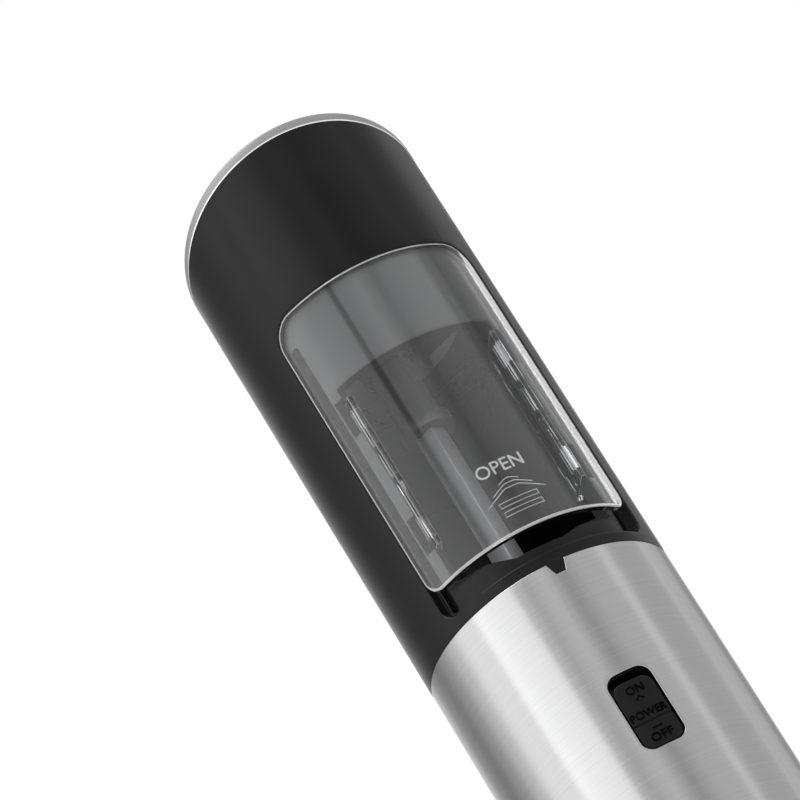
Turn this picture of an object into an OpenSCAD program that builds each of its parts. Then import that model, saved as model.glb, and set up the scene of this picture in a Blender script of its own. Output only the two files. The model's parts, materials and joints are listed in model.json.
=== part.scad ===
// Battery pepper mill that switches itself on when it is tipped over.
// The motor and its cells stand in the steel lower half. The black head above holds the
// peppercorns, the burrs and the slanted outlet. Millimetres, +Z up through the axis,
// origin at the middle of the foot, front (switch and refill cover) towards -Y.

/* [Body] */
// Outer diameter of the mill
body_d = 52; // [50:1:64]
// Height of the steel sleeve's top edge
sleeve_top = 112; // [110:1:136]
// Wall of the steel sleeve
sleeve_wall = 0.6; // [0.4:0.1:0.8]
// Wall of the black head shell
shell_wall = 2.4; // [2:0.1:3]
// Height of the slanted end above the sleeve, on the axis
head_h = 99.7; // [97:0.1:120]
// Tilt of the slanted end, highest at the front
slant_angle = 19.2; // [0:0.1:24]
// Thickness of the outlet lid
lid_t = 2.2; // [1.6:0.1:3]

/* [Refill cover] */
// Height of the refill cover
cover_h = 66.6; // [60:0.1:66.6]
// Thickness of the refill cover
cover_t = 1.8; // [1.4:0.1:2]
// Half width of the refill cover across the front
cover_half_w = 21.1; // [19:0.1:22]
// Travel of the refill cover from open to closed
cover_travel = 6.4; // [5:0.1:6.4]
// Half width of the refill opening
opening_half_w = 16; // [14:0.1:16.5]
// Height of the refill opening's top edge above the sleeve
opening_top = 56.3; // [50:0.1:57]

/* [Drive] */
// Width across the flats of the square drive shaft
shaft_w = 4.6; // [4:0.1:5]
// Angle at which the square drive shaft stands at rest
shaft_turn = 42.4; // [0:0.1:90]
// Gear module of the planetary gearbox
gear_m = 0.5; // [0.45:0.01:0.52]
// Outer diameter of the motor
motor_d = 24; // [20:0.5:25]
// Length of the motor can
motor_l = 21; // [16:0.5:22]

/* [Cells] */
// Diameter of one cell
cell_d = 10.5; // [10:0.1:11]
// Length of one cell over its button
cell_l = 44.5; // [43:0.1:46]
// Number of cells round the magazine
cell_count = 6; // [4:2:6]

/* [Power switch] */
// Width of the switch cut-out
switch_w = 8.8; // [7:0.1:10]
// Height of the switch cut-out
switch_h = 16.6; // [14:0.1:18]
// Travel of the power slider from off to on
switch_travel = 1.5; // [1:0.1:2]

/* [Burrs] */
// Largest radius of the inner burr
burr_r = 12.4; // [11:0.1:12.8]
// Teeth round each burr
burr_teeth = 24; // [16:4:28]
// Axial travel of the outer burr from fine to coarse
burr_travel = 1.2; // [0.6:0.1:1.4]

/* [Hidden] */
$fn = 96;
eps = 0.01;
root = 0.5;
slip = 0.1;
run_gap = 0.3;
press_gap = 0.02;
slack = 0.05;

// Radii from the outside in
body_r = body_d / 2;
sleeve_in = body_r - sleeve_wall;
chassis_r = sleeve_in - slip;
chassis_wall = 1.6;
chassis_in = chassis_r - chassis_wall;
shell_in = body_r - shell_wall;
spigot_r = sleeve_in - 0.2;

// Base
pad_proud = 0.8;
cap_top = 12;
cap_floor = 3.2;
cap_wall = 4;
cap_spigot_wall = 1.5;
cap_spigot_top = 16;
lug_z = 14;
lug_h = 1.6;
lug_angle = 8;
lug_gap = 0.2;
lug_inset = 0.4;
lug_slot_angle = lug_angle / 2 + 1;
entry_inset = 0.5;
cap_twist = 30;
seam = 0.2;
pad_in_r = 16;
pad_out_r = 23;

// Battery magazine
mag_plate = 1.6;
contact_t = 0.4;
spring_h = 2.2;
cell_ring_r = (cell_d + 0.6) / 2 / sin(180 / cell_count) + 2.9;
mag_r = cell_ring_r + cell_d / 2 + 1.3;
mag_z0 = cap_floor + run_gap;
cell_z0 = mag_z0 + mag_plate + contact_t;
mag_top = cell_z0 + spring_h + cell_l + contact_t + mag_plate;
button_h = 0.9;
button_r = 1.9;
spring_wire = 0.5;
spring_turns = 2.5;
bulkhead_t = 1.6;
guide_t = 2;
core_r = 3.6;
core_in_r = 2.2;
web_t = 1.2;

// Gears
sun_teeth = 12;
planet_teeth = 15;
ring_teeth = sun_teeth + 2 * planet_teeth;
planet_ring_r = gear_m * (sun_teeth + planet_teeth) / 2;
backlash = 0.14;
addendum = 0.85 * gear_m;
dedendum = 1.2 * gear_m;
pressure_angle = 20;
planet_pin_r = 1;
pin_fit = 0.05;
rotor_shaft_r = 1;

// Heights in the gearbox, hung from the sleeve's top edge
gear_z0 = sleeve_top - 20;
gear_h = 4;
plate_t = 1.4;
stage_1_z = gear_z0 + 0.8;
carrier_1_z = stage_1_z + gear_h + run_gap;
stage_2_z = carrier_1_z + plate_t + run_gap + 0.2;
carrier_2_z = stage_2_z + gear_h + run_gap;
carrier_2_t = 1.8;
carrier_r = planet_ring_r + 2.4;
housing_r = gear_m * ring_teeth / 2 + 2.7;
housing_lid_z = carrier_2_z + carrier_2_t + run_gap;
housing_top = housing_lid_z + 1.5;
socket_r = 4.6;
socket_top = sleeve_top - 1.1;
socket_floor = housing_top - 0.8;
motor_plate_t = 1.5;
motor_z1 = gear_z0 - motor_plate_t;
motor_z0 = motor_z1 - motor_l;
endbell_h = 3;
can_wall = 0.8;
terminal_x = 6;
terminal_h = 3;
terminal_t = 0.5;
magnet_t = 2.6;
magnet_angle = 62;
armature_gap = 0.4;
armature_lift = 4;
armature_short = 9;
commutator_r = 2.8;
commutator_h = 3;
shaft_inset = 0.5;
plate_bore_r = 3;

// Deck that carries the gearbox
deck_top = sleeve_top - 12;
deck_t = 2.4;
deck_z0 = deck_top - deck_t;
flange_t = 2;
flange_r = housing_r + 4.4;
flange_screw_r = housing_r + 2.3;
boss_r = 3;
boss_ring_r = chassis_in - 2.8;
boss_h = 11;
boss_hole = 6.5;
screw_r = 1;
screw_head_r = 2;
screw_head_h = 1.2;

// Switch
switch_z = sleeve_top - 34.7;
board_t = 1.4;
board_y = -(max(motor_d / 2, housing_r) + 0.5);
board_half_w = 9;
board_drop = 11.3;
board_h = 27;
part_x = 5.5;
tilt_r = 2.2;
tilt_h = 4.6;
capacitor_r = 2;
capacitor_h = 4.2;
chip_w = 4;
chip_t = 1.6;
chip_h = 5;
chip_drop = 10;
frame_back_y = -(chassis_r - 6.1);
frame_side = 2;
frame_gap = 0.2;
pocket_floor_y = frame_back_y - 1.8;
slider_clear = 0.25;
switch_body_w = 8.6;
switch_body_h = 8;
stem_w = 2.6;
stem_h = 3.6;
stem_gap = 0.4;
slider_r = body_r - 0.3;
switch_corner = 2.4;

// Head
recess_gap = 0.2;
recess_r = body_r - cover_t - run_gap;
panel_in = recess_r - 2.4;
panel_angle = 68;
cover_rest_z = sleeve_top + 8.8;
recess_z0 = cover_rest_z - cover_travel - recess_gap;
recess_z1 = cover_rest_z + cover_h + recess_gap;
panel_z1 = recess_z1 + 3;
corner_w = 4;
corner_h = 6;
corner_low = 3;
corner_steps = 10;
groove_in = recess_r - 1.4;
groove_a0 = 47.4;
groove_a1 = 54.6;
slant_z = sleeve_top + head_h;
slab_half = 2 * head_h;
spigot_z0 = deck_top + 0.6;
ledge_z0 = sleeve_top - 0.6;
ledge_w = 1.4;
floor_z0 = sleeve_top + 0.6;
floor_t = 2.4;
seal_r = shaft_w * sqrt(2) / 2 + 0.3;
seal_hub_r = seal_r + 1.6;
tab_top_w = 1.75;
tab_tip_w = 0.9;
tab_h = 2.4;
tab_gap = 0.15;

// Refill opening, lowest in the middle of its sill
opening_sill = 5;
opening_shoulder = 8.4;
sill_left = 5.5;
sill_right = 5;
sill_slope_w = 5;
sill_slope_h = 1.2;
sill_right_slope_w = 4;
sill_skew = 0.6;

// Hooks and rails inside the refill cover
rail_t = 1.2;
rail_x = opening_half_w - run_gap - rail_t;
rail_z0 = cover_rest_z + 7.7;
rail_z1 = rail_z0 + 36.5;
hook_w = 1.7;
hook_h = 5;
hook_low_z = rail_z0 + 0.6;
hook_high_z = rail_z1 - hook_h - 1.8;
hook_x1 = rail_x + rail_t + hook_w;
hook_y = -sqrt(panel_in * panel_in - hook_x1 * hook_x1) + 0.45;
hook_t = 1.2;
notch_gap = 0.5;
notch_rise = 2.5;

// Burr section
burr_frame_z = sleeve_top + 64.5;
burr_frame_t = 2;
burr_frame_r = panel_in - slip;
shelf_t = 1.7;
shelf_w = 1.8;
frame_screw_r = 0.7;
hub_r = shaft_w * sqrt(2) / 2 + 0.95;
hub_fit = 0.07;
hub_z0 = sleeve_top + 48.2;
ring_r = hub_r + 1.3;
ring_h = 2.4;
bearing_r = hub_r + 2;
shaft_fit = 0.1;
shaft_top = hub_z0 + 12;
hub_bore_top = shaft_top + 0.5;
wing_r = hub_r + 4;
wing_t = 2.6;
wing_h = 3.4;
wing_drop = 2.4;
inner_burr_z = burr_frame_z + burr_frame_t + run_gap;
inner_burr_h = 14;
inner_burr_top = inner_burr_z + inner_burr_h;
inner_burr_low_r = 6.6;
burr_tilt = atan((burr_r - inner_burr_low_r) / inner_burr_h);
burr_gap = 0.45;
tooth_d = 0.7;
outer_burr_r = burr_r + 4.6;
outer_burr_z = burr_frame_z + burr_frame_t + burr_travel + 0.6;
outer_burr_top = inner_burr_top + 0.6;
cup_fit = 0.1;
cup_r = outer_burr_r + cup_fit;
cup_wall = 1.5;
cup_top = outer_burr_top + 2.4;
key_w = 3;
key_fit = 0.15;
adjuster_skirt_r = cup_r + cup_wall + 0.2;
adjuster_wall = 1.2;
adjuster_z0 = cup_top - 6;
adjuster_t = 2;
outlet_r = burr_r + 0.8;
nut_r = 5.5;
nut_t = 2;
burr_screw_l = 7;
burr_screw_r = 1.25;
burr_screw_head_r = 2.6;
burr_screw_head_h = 1.4;
rib_count = 12;
rib_l = 4.5;
rib_t = 1;

// Outlet lid
plug_r = shell_in - 0.3;
plug_wall = 1.4;
plug_h = 4;
plug_seal_d = 0.55;
plug_seal_w = 1.4;

// ---- Shapes used by several pieces ----

// A tube round the mill's axis
module tube(r_out, r_in, z0, z1) {
    translate([0, 0, z0])
        difference() {
            cylinder(r = r_out, h = z1 - z0);
            translate([0, 0, -eps])
                cylinder(r = r_in, h = z1 - z0 + 2 * eps);
        }
}

// Square bar on the axis, turned as the drive shaft stands
module square_bar(w, z0, z1) {
    rotate([0, 0, shaft_turn])
        translate([-w / 2, -w / 2, z0])
            cube([w, w, z1 - z0]);
}

// Part of a tube, spread evenly about the front unless it is turned
module sector(r_out, r_in, half_angle, z0, z1, turn = 0) {
    rotate([0, 0, turn - 90 - half_angle])
        rotate_extrude(angle = 2 * half_angle)
            translate([r_in, z0])
                square([r_out - r_in, z1 - z0]);
}

// A flat outline in X and Z, driven from the axis towards the front
module punch_front(depth) {
    rotate([90, 0, 0])
        linear_extrude(depth)
            children();
}

// Rectangle with round corners about its own middle
module rounded_rect(w, h, r) {
    square([w - 2 * r, h], center = true);
    square([w, h - 2 * r], center = true);
    for (x = [-1, 1], y = [-1, 1])
        translate([x * (w / 2 - r), y * (h / 2 - r)])
            circle(r = r, $fn = 32);
}

// Slab parallel to the slanted end, from lo to hi along its normal
module slant_slab(lo, hi) {
    translate([0, 0, slant_z])
        rotate([-slant_angle, 0, 0])
            translate([-slab_half, -slab_half, lo])
                cube([2 * slab_half, 2 * slab_half, hi - lo]);
}

// Quarter round of the cover's outline about (cx, cz)
function corner(cx, cz, rx, rz, from) =
    [for (i = [0:corner_steps])
        [cx + rx * cos(from + 90 * i / corner_steps), cz + rz * sin(from + 90 * i / corner_steps)]];

// Outline of the refill cover or of its recess, seen from the front
function cover_outline(half_w, z0, z1) = concat(
    corner(half_w - corner_w, z1 - corner_h, corner_w, corner_h, 0),
    corner(corner_w - half_w, z1 - corner_h, corner_w, corner_h, 90),
    corner(corner_low - half_w, z0 + corner_low, corner_low, corner_low, 180),
    corner(half_w - corner_low, z0 + corner_low, corner_low, corner_low, 270)
);

// Half thickness of a gear tooth at a radius; the flank is straight
function tooth_half(pitch_r, r, side) =
    (PI * gear_m / 2 - backlash) / 2 - side * (r - pitch_r) * tan(pressure_angle);

function polar(r, a) = [r * cos(a), r * sin(a)];

// Outline of a gear. side is 1 for teeth that point out and -1 for a ring gear.
// phase turns the first tooth, in teeth.
function gear_points(teeth, side, phase) =
    let (
        pitch_r = gear_m * teeth / 2,
        tip_r = pitch_r + side * addendum,
        root_r = pitch_r - side * dedendum,
        tip_a = tooth_half(pitch_r, tip_r, side) / tip_r * 180 / PI,
        root_a = tooth_half(pitch_r, root_r, side) / root_r * 180 / PI
    )
    [for (i = [0:teeth - 1])
        let (mid = 360 * (i + phase) / teeth)
        each [polar(root_r, mid - root_a), polar(tip_r, mid - tip_a),
              polar(tip_r, mid + tip_a), polar(root_r, mid + root_a)]];

// Pan-head screw with a cross recess, its head's seat at z = 0
module screw(shank_l, shank_r = screw_r, head_r = screw_head_r, head_h = screw_head_h) {
    difference() {
        union() {
            cylinder(r = head_r, h = head_h, $fn = 32);
            translate([0, 0, -shank_l])
                cylinder(r = shank_r, h = shank_l + eps, $fn = 24);
        }
        for (a = [0, 90])
            rotate([0, 0, a])
                translate([-head_r * 0.6, -0.25, head_h / 2])
                    cube([head_r * 1.2, 0.5, head_h]);
    }
}

// Coil spring from z = 0 to h, closed by its wire's end faces
module coil_spring(r, h, turns, wire_r) {
    steps = 14;
    sides = 6;
    count = round(turns * steps);
    rings = [for (i = [0:count])
        let (a = 360 * i / steps, z = wire_r + (h - 2 * wire_r) * i / count)
        [for (j = [0:sides - 1])
            let (b = 360 * j / sides, rr = r + wire_r * cos(b))
            [rr * cos(a), rr * sin(a), z + wire_r * sin(b)]]];
    sides_faces = [for (i = [0:count - 1], j = [0:sides - 1])
        [i * sides + j, (i + 1) * sides + j,
         (i + 1) * sides + (j + 1) % sides, i * sides + (j + 1) % sides]];
    first = [[for (j = [0:sides - 1]) j]];
    last = [[for (j = [sides - 1:-1:0]) count * sides + j]];
    polyhedron(points = [for (ring = rings) each ring],
        faces = concat(sides_faces, first, last));
}

// ---- Base ----

module foot_pad() {
    color("dimgray")
        tube(pad_out_r, pad_in_r, 0, 2 * pad_proud);
}

module base_cap() {
    color([0.13, 0.13, 0.14]) {
        difference() {
            translate([0, 0, pad_proud])
                cylinder(r = body_r, h = cap_top - pad_proud);
            translate([0, 0, cap_floor])
                cylinder(r = body_r - cap_wall, h = cap_top);
            tube(pad_out_r + slip, pad_in_r - slip, 0, 2 * pad_proud + slip);
        }
        tube(chassis_in - run_gap, chassis_in - run_gap - cap_spigot_wall, cap_top - 1, cap_spigot_top);
        for (a = [60:120:300])
            sector(chassis_r - lug_inset, chassis_in - 1, lug_angle / 2, lug_z, lug_z + lug_h, a);
    }
}

// ---- Lower body ----

module steel_sleeve() {
    color([0.78, 0.78, 0.79])
        difference() {
            tube(body_r, sleeve_in, cap_top + seam, sleeve_top);
            punch_front(body_d)
                translate([0, switch_z])
                    rounded_rect(switch_w, switch_h, switch_corner);
            punch_front(body_d)
                tab_outline(tab_gap);
        }
}

// Trapezoid of the locating tab, grown by a gap for its notch
module tab_outline(grow) {
    polygon([
        [-tab_top_w - grow, sleeve_top + 1],
        [-tab_top_w - grow, sleeve_top],
        [-tab_tip_w - grow, sleeve_top - tab_h - grow],
        [tab_tip_w + grow, sleeve_top - tab_h - grow],
        [tab_top_w + grow, sleeve_top],
        [tab_top_w + grow, sleeve_top + 1]
    ]);
}

module chassis() {
    color([0.2, 0.2, 0.21])
        difference() {
            union() {
                tube(chassis_r, chassis_in, cap_top + seam, deck_top);
                tube(chassis_in + root, cell_ring_r, mag_top + run_gap,
                    mag_top + run_gap + bulkhead_t);
                for (a = [0:120:240]) {
                    rotate([0, 0, a + 90])
                        translate([boss_ring_r, 0, deck_z0 - boss_h])
                            cylinder(r = boss_r, h = boss_h);
                    rotate([0, 0, a + 30])
                        translate([mag_r + run_gap, -guide_t / 2, cap_spigot_top + 1])
                            cube([chassis_in - mag_r - run_gap + root, guide_t,
                                mag_top + run_gap - cap_spigot_top]);
                }
            }
            translate([-switch_w / 2 - frame_side - frame_gap, -body_r,
                switch_z - switch_h / 2 - frame_side - frame_gap])
                cube([switch_w + 2 * (frame_side + frame_gap), body_r - chassis_in + 4,
                    switch_h + 2 * (frame_side + frame_gap)]);
            for (a = [60:120:300])
                sector(body_r, chassis_in - 1, lug_slot_angle + cap_twist / 2,
                    lug_z - lug_gap, lug_z + lug_h + lug_gap, a + cap_twist / 2);
            for (a = [60:120:300])
                sector(body_r, chassis_in - 1, lug_slot_angle - entry_inset, cap_top, lug_z, a + cap_twist);
            for (a = [0:120:240])
                rotate([0, 0, a + 90])
                    translate([boss_ring_r, 0, deck_z0 - boss_hole])
                        cylinder(r = screw_r + press_gap, h = boss_hole + 1, $fn = 24);
        }
}

module battery_magazine() {
    color([0.25, 0.25, 0.27])
        difference() {
            union() {
                tube(mag_r, core_in_r, mag_z0, mag_z0 + mag_plate);
                tube(mag_r, core_in_r, mag_top - mag_plate, mag_top);
                tube(core_r, core_in_r, mag_z0, mag_top);
                for (i = [0:cell_count - 1])
                    rotate([0, 0, 360 * (i + 0.5) / cell_count])
                        translate([core_r - root, -web_t / 2, mag_z0])
                            cube([cell_ring_r - core_r - root, web_t, mag_top - mag_z0]);
            }
            each_cell(0)
                translate([0, 0, cell_z0])
                    cylinder(r = cell_d / 2 + 0.15, h = mag_top - mag_plate - cell_z0 - contact_t);
            each_cell(0)
                translate([0, 0, mag_z0 + mag_plate - eps])
                    cylinder(r = cell_d / 2 - 0.5, h = mag_top - mag_z0 - 2 * mag_plate + 2 * eps);
        }
}

// Places its children at every cell
module each_cell(lift) {
    for (i = [0:cell_count - 1])
        rotate([0, 0, 360 * i / cell_count])
            translate([cell_ring_r, 0, lift])
                children();
}

// Cells stand head up and head down in turn
module each_cell_turned() {
    mid = (cell_z0 + mag_top - mag_plate - contact_t) / 2;
    for (i = [0:cell_count - 1])
        rotate([0, 0, 360 * i / cell_count])
            translate([cell_ring_r, 0, mid])
                mirror([0, 0, i % 2])
                    translate([0, 0, -mid])
                        children();
}

module battery_cells() {
    color([0.35, 0.37, 0.4])
        each_cell_turned()
            translate([0, 0, cell_z0 + spring_h])
                rotate_extrude()
                    polygon([
                        [0, 0], [cell_d / 2 - 0.4, 0], [cell_d / 2, 0.4],
                        [cell_d / 2, cell_l - button_h - 0.4],
                        [cell_d / 2 - 0.4, cell_l - button_h], [button_r, cell_l - button_h],
                        [button_r, cell_l], [0, cell_l]
                    ]);
}

module contact_springs() {
    color([0.8, 0.8, 0.8])
        each_cell_turned()
            translate([0, 0, cell_z0 + 0.02])
                coil_spring(2.6, spring_h - 0.04, spring_turns, spring_wire / 2);
}

module contact_plates() {
    color([0.85, 0.83, 0.78]) {
        each_cell(cell_z0 - contact_t)
            cylinder(r = cell_d / 2 - 0.9, h = contact_t);
        each_cell(mag_top - mag_plate - contact_t)
            cylinder(r = cell_d / 2 - 0.9, h = contact_t);
    }
}

// ---- Motor ----

module motor_can() {
    color([0.7, 0.7, 0.72])
        difference() {
            translate([0, 0, motor_z0])
                cylinder(d = motor_d, h = motor_l);
            translate([0, 0, motor_z0 - eps])
                cylinder(d = motor_d - 2 * can_wall, h = motor_l - can_wall);
            translate([0, 0, motor_z1 - can_wall - 1])
                cylinder(r = rotor_shaft_r + pin_fit, h = can_wall + 2);
        }
}

module motor_endbell() {
    color([0.9, 0.9, 0.86]) {
        tube(motor_d / 2, rotor_shaft_r + pin_fit, motor_z0 - endbell_h, motor_z0);
        for (x = [-1, 1])
            translate([x * terminal_x - 1, 3, motor_z0 - endbell_h - terminal_h])
                cube([2, terminal_t, terminal_h + eps]);
    }
}

module motor_magnets() {
    color([0.2, 0.2, 0.22])
        for (turn = [0, 180])
            sector(motor_d / 2 - can_wall - slack, motor_d / 2 - can_wall - magnet_t, magnet_angle,
                motor_z0 + 2, motor_z1 - 3, turn);
}

module motor_rotor() {
    color([0.55, 0.4, 0.25]) {
        translate([0, 0, motor_z0 - endbell_h + shaft_inset])
            cylinder(r = rotor_shaft_r, h = stage_1_z + gear_h - motor_z0 + endbell_h - shaft_inset);
        translate([0, 0, motor_z0 + armature_lift])
            cylinder(r = motor_d / 2 - can_wall - magnet_t - armature_gap, h = motor_l - armature_short);
        translate([0, 0, motor_z0 + can_wall])
            cylinder(r = commutator_r, h = commutator_h);
    }
}

module motor_plate() {
    color([0.75, 0.75, 0.76])
        tube(housing_r, plate_bore_r, motor_z1, gear_z0);
}

// ---- Gearbox ----

module gearbox_housing() {
    color([0.85, 0.85, 0.8])
        difference() {
            union() {
                translate([0, 0, gear_z0])
                    cylinder(r = housing_r, h = housing_top - gear_z0);
                tube(flange_r, housing_r - 1, deck_z0 - flange_t, deck_z0);
            }
            translate([0, 0, gear_z0 - eps])
                linear_extrude(carrier_2_z - 0.1 - gear_z0 + eps)
                    polygon(gear_points(ring_teeth, -1, 0.5));
            translate([0, 0, carrier_2_z - 0.2])
                cylinder(r = gear_m * ring_teeth / 2 + dedendum + 0.1, h = housing_lid_z - carrier_2_z + 0.2);
            translate([0, 0, housing_lid_z - 1])
                cylinder(r = socket_r + pin_fit, h = 4);
            for (a = [30:120:270])
                rotate([0, 0, a])
                    translate([flange_screw_r, 0, deck_z0 - flange_t - 1])
                        cylinder(r = screw_r + press_gap, h = flange_t + 2, $fn = 24);
        }
}

// A sun gear of the given height on z
module sun_gear(z, bore_r) {
    translate([0, 0, z])
        difference() {
            linear_extrude(gear_h)
                polygon(gear_points(sun_teeth, 1, 0));
            translate([0, 0, -eps])
                cylinder(r = bore_r, h = gear_h + 2 * eps, $fn = 32);
        }
}

module motor_pinion() {
    color("goldenrod")
        sun_gear(stage_1_z, rotor_shaft_r + press_gap);
}

// One planet gear, meshed with the ring at the angle it stands at
module planet(angle, z) {
    color([0.93, 0.92, 0.88])
        rotate([0, 0, angle])
            translate([planet_ring_r, 0, z])
                difference() {
                    linear_extrude(gear_h)
                        polygon(gear_points(planet_teeth, 1, 0));
                    translate([0, 0, -eps])
                        cylinder(r = planet_pin_r + pin_fit, h = gear_h + 2 * eps, $fn = 32);
                }
}

module planet_1a() { planet(0, stage_1_z); }
module planet_1b() { planet(120, stage_1_z); }
module planet_1c() { planet(240, stage_1_z); }
module planet_2a() { planet(0, stage_2_z); }
module planet_2b() { planet(120, stage_2_z); }
module planet_2c() { planet(240, stage_2_z); }

// The three pins that a stage's planets turn on
module planet_pins(z0, z1) {
    for (a = [0:120:240])
        rotate([0, 0, a])
            translate([planet_ring_r, 0, z0])
                cylinder(r = planet_pin_r, h = z1 - z0, $fn = 32);
}

module first_carrier() {
    color([0.72, 0.72, 0.7]) {
        translate([0, 0, carrier_1_z])
            cylinder(r = carrier_r, h = plate_t);
        planet_pins(stage_1_z, carrier_1_z + eps);
        translate([0, 0, carrier_1_z + plate_t - eps])
            linear_extrude(stage_2_z + gear_h - carrier_1_z - plate_t)
                polygon(gear_points(sun_teeth, 1, 0));
    }
}

module output_carrier() {
    color([0.66, 0.66, 0.68])
        difference() {
            union() {
                translate([0, 0, carrier_2_z])
                    cylinder(r = carrier_r, h = carrier_2_t);
                planet_pins(stage_2_z, carrier_2_z + eps);
                translate([0, 0, carrier_2_z])
                    cylinder(r = socket_r, h = socket_top - carrier_2_z);
            }
            square_bar(shaft_w + 2 * press_gap, socket_floor, socket_floor + socket_top);
        }
}

module drive_shaft() {
    color([0.72, 0.72, 0.74])
        square_bar(shaft_w, socket_floor, shaft_top);
}

module deck_plate() {
    color([0.16, 0.16, 0.17])
        difference() {
            tube(chassis_in - slip, housing_r + 0.2, deck_z0, deck_top);
            for (a = [0:120:240]) {
                rotate([0, 0, a + 90])
                    translate([boss_ring_r, 0, deck_z0 - 1])
                        cylinder(r = screw_r + 0.2, h = deck_t + 2, $fn = 24);
                rotate([0, 0, a + 30])
                    translate([flange_screw_r, 0, deck_z0 - 1])
                        cylinder(r = screw_r + 0.2, h = deck_t + 2, $fn = 24);
            }
        }
}

module deck_screws() {
    color("silver")
        for (a = [0:120:240]) {
            rotate([0, 0, a + 90])
                translate([boss_ring_r, 0, deck_top])
                    screw(deck_t + boss_hole - 0.5);
            rotate([0, 0, a + 30])
                translate([flange_screw_r, 0, deck_top])
                    screw(deck_t + flange_t);
        }
}

// ---- Switch and electronics ----

module circuit_board() {
    color([0.1, 0.32, 0.16])
        translate([-board_half_w, board_y - board_t, switch_z - board_drop])
            cube([2 * board_half_w, board_t, board_h]);
}

module board_parts() {
    tilt_z = switch_z + switch_h / 2 + frame_side + 0.5;
    color([0.75, 0.75, 0.72]) {
        translate([-part_x, board_y - board_t - tilt_r, tilt_z])
            cylinder(r = tilt_r, h = tilt_h);
        translate([part_x, board_y - board_t - capacitor_r, tilt_z])
            cylinder(r = capacitor_r, h = capacitor_h);
        translate([1 - board_half_w, board_y - board_t - chip_t, switch_z - chip_drop])
            cube([chip_w, chip_t, chip_h]);
    }
}

module slide_switch() {
    color([0.55, 0.55, 0.57])
        translate([-switch_body_w / 2, frame_back_y + root, switch_z - switch_body_h / 2])
            cube([switch_body_w, board_y - board_t - frame_back_y - root, switch_body_h]);
}

module switch_frame() {
    color([0.1, 0.1, 0.1])
        difference() {
            intersection() {
                cylinder(r = chassis_r, h = sleeve_top);
                translate([-switch_w / 2 - frame_side, -body_r, switch_z - switch_h / 2 - frame_side])
                    cube([switch_w + 2 * frame_side, body_r + frame_back_y,
                        switch_h + 2 * frame_side]);
            }
            translate([0, pocket_floor_y, 0])
                punch_front(body_r)
                    translate([0, switch_z])
                        rounded_rect(switch_w, switch_h, switch_corner);
            translate([-stem_w / 2 - stem_gap, -body_r, switch_z - stem_h / 2 - stem_gap])
                cube([stem_w + 2 * stem_gap, body_r, stem_h + 2 * stem_gap + switch_travel]);
        }
}

module power_slider() {
    slider_h = switch_h - switch_travel - 2 * slider_clear;
    slider_z = switch_z - switch_h / 2 + slider_clear + slider_h / 2;
    color([0.12, 0.12, 0.12]) {
        intersection() {
            cylinder(r = slider_r, h = sleeve_top);
            translate([0, pocket_floor_y - 0.2, 0])
                punch_front(body_r)
                    translate([0, slider_z])
                        rounded_rect(switch_w - 2 * slider_clear, slider_h, switch_corner - slider_clear);
        }
        translate([-stem_w / 2, pocket_floor_y - stem_gap, switch_z - stem_h / 2])
            cube([stem_w, frame_back_y + 0.2 - pocket_floor_y + stem_gap, stem_h]);
    }
}

// ---- Head ----

module head_shell() {
    color([0.12, 0.12, 0.13])
        difference() {
            union() {
                intersection() {
                    union() {
                        tube(body_r, shell_in, sleeve_top, slant_z + body_d);
                        sector(shell_in + 1, panel_in, panel_angle, floor_z0, panel_z1);
                    }
                    slant_slab(-2 * head_h, 0);
                }
                tube(spigot_r, shell_in, spigot_z0, sleeve_top + eps);
                tube(shell_in + root, shell_in - ledge_w, ledge_z0, floor_z0);
                tube(shell_in + root, burr_frame_r - shelf_w, burr_frame_z - shelf_t, burr_frame_z);
                intersection() {
                    tube(body_r, shell_in, sleeve_top - body_d, sleeve_top + 1);
                    punch_front(body_d)
                        tab_outline(0);
                }
            }
            intersection() {
                tube(body_r + 1, recess_r, recess_z0 - 1, recess_z1 + 1);
                punch_front(body_d)
                    polygon(cover_outline(cover_half_w + recess_gap, recess_z0, recess_z1));
            }
            for (side = [-1, 1])
                sector(recess_r + 0.5, groove_in, (groove_a1 - groove_a0) / 2, recess_z0 + 0.4,
                    recess_z1 - corner_h, side * (groove_a0 + groove_a1) / 2);
            frame_screw_places()
                translate([0, 0, burr_frame_z - 1.5])
                    cylinder(r = frame_screw_r + press_gap, h = 2, $fn = 24);
            punch_front(body_d)
                refill_opening();
        }
}

// Outline of the refill opening with its dipped sill and the notches for the cover's hooks
module refill_opening() {
    sill_z = sleeve_top + opening_sill;
    polygon([
        [-opening_half_w, sleeve_top + opening_shoulder],
        [-sill_left - sill_slope_w, sleeve_top + opening_shoulder - sill_slope_h],
        [-sill_left, sill_z],
        [sill_right, sill_z],
        [sill_right + sill_right_slope_w, sill_z + sill_slope_h],
        [opening_half_w, sleeve_top + opening_shoulder - sill_skew],
        [opening_half_w, sleeve_top + opening_top],
        [-opening_half_w, sleeve_top + opening_top]
    ]);
    for (z = [hook_low_z, hook_high_z], side = [-1, 1])
        translate([side > 0 ? opening_half_w - 1 : -hook_x1 - notch_gap, z - notch_gap])
            square([hook_x1 + notch_gap - opening_half_w + 1, hook_h + 2 * notch_gap + notch_rise]);
}

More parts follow.
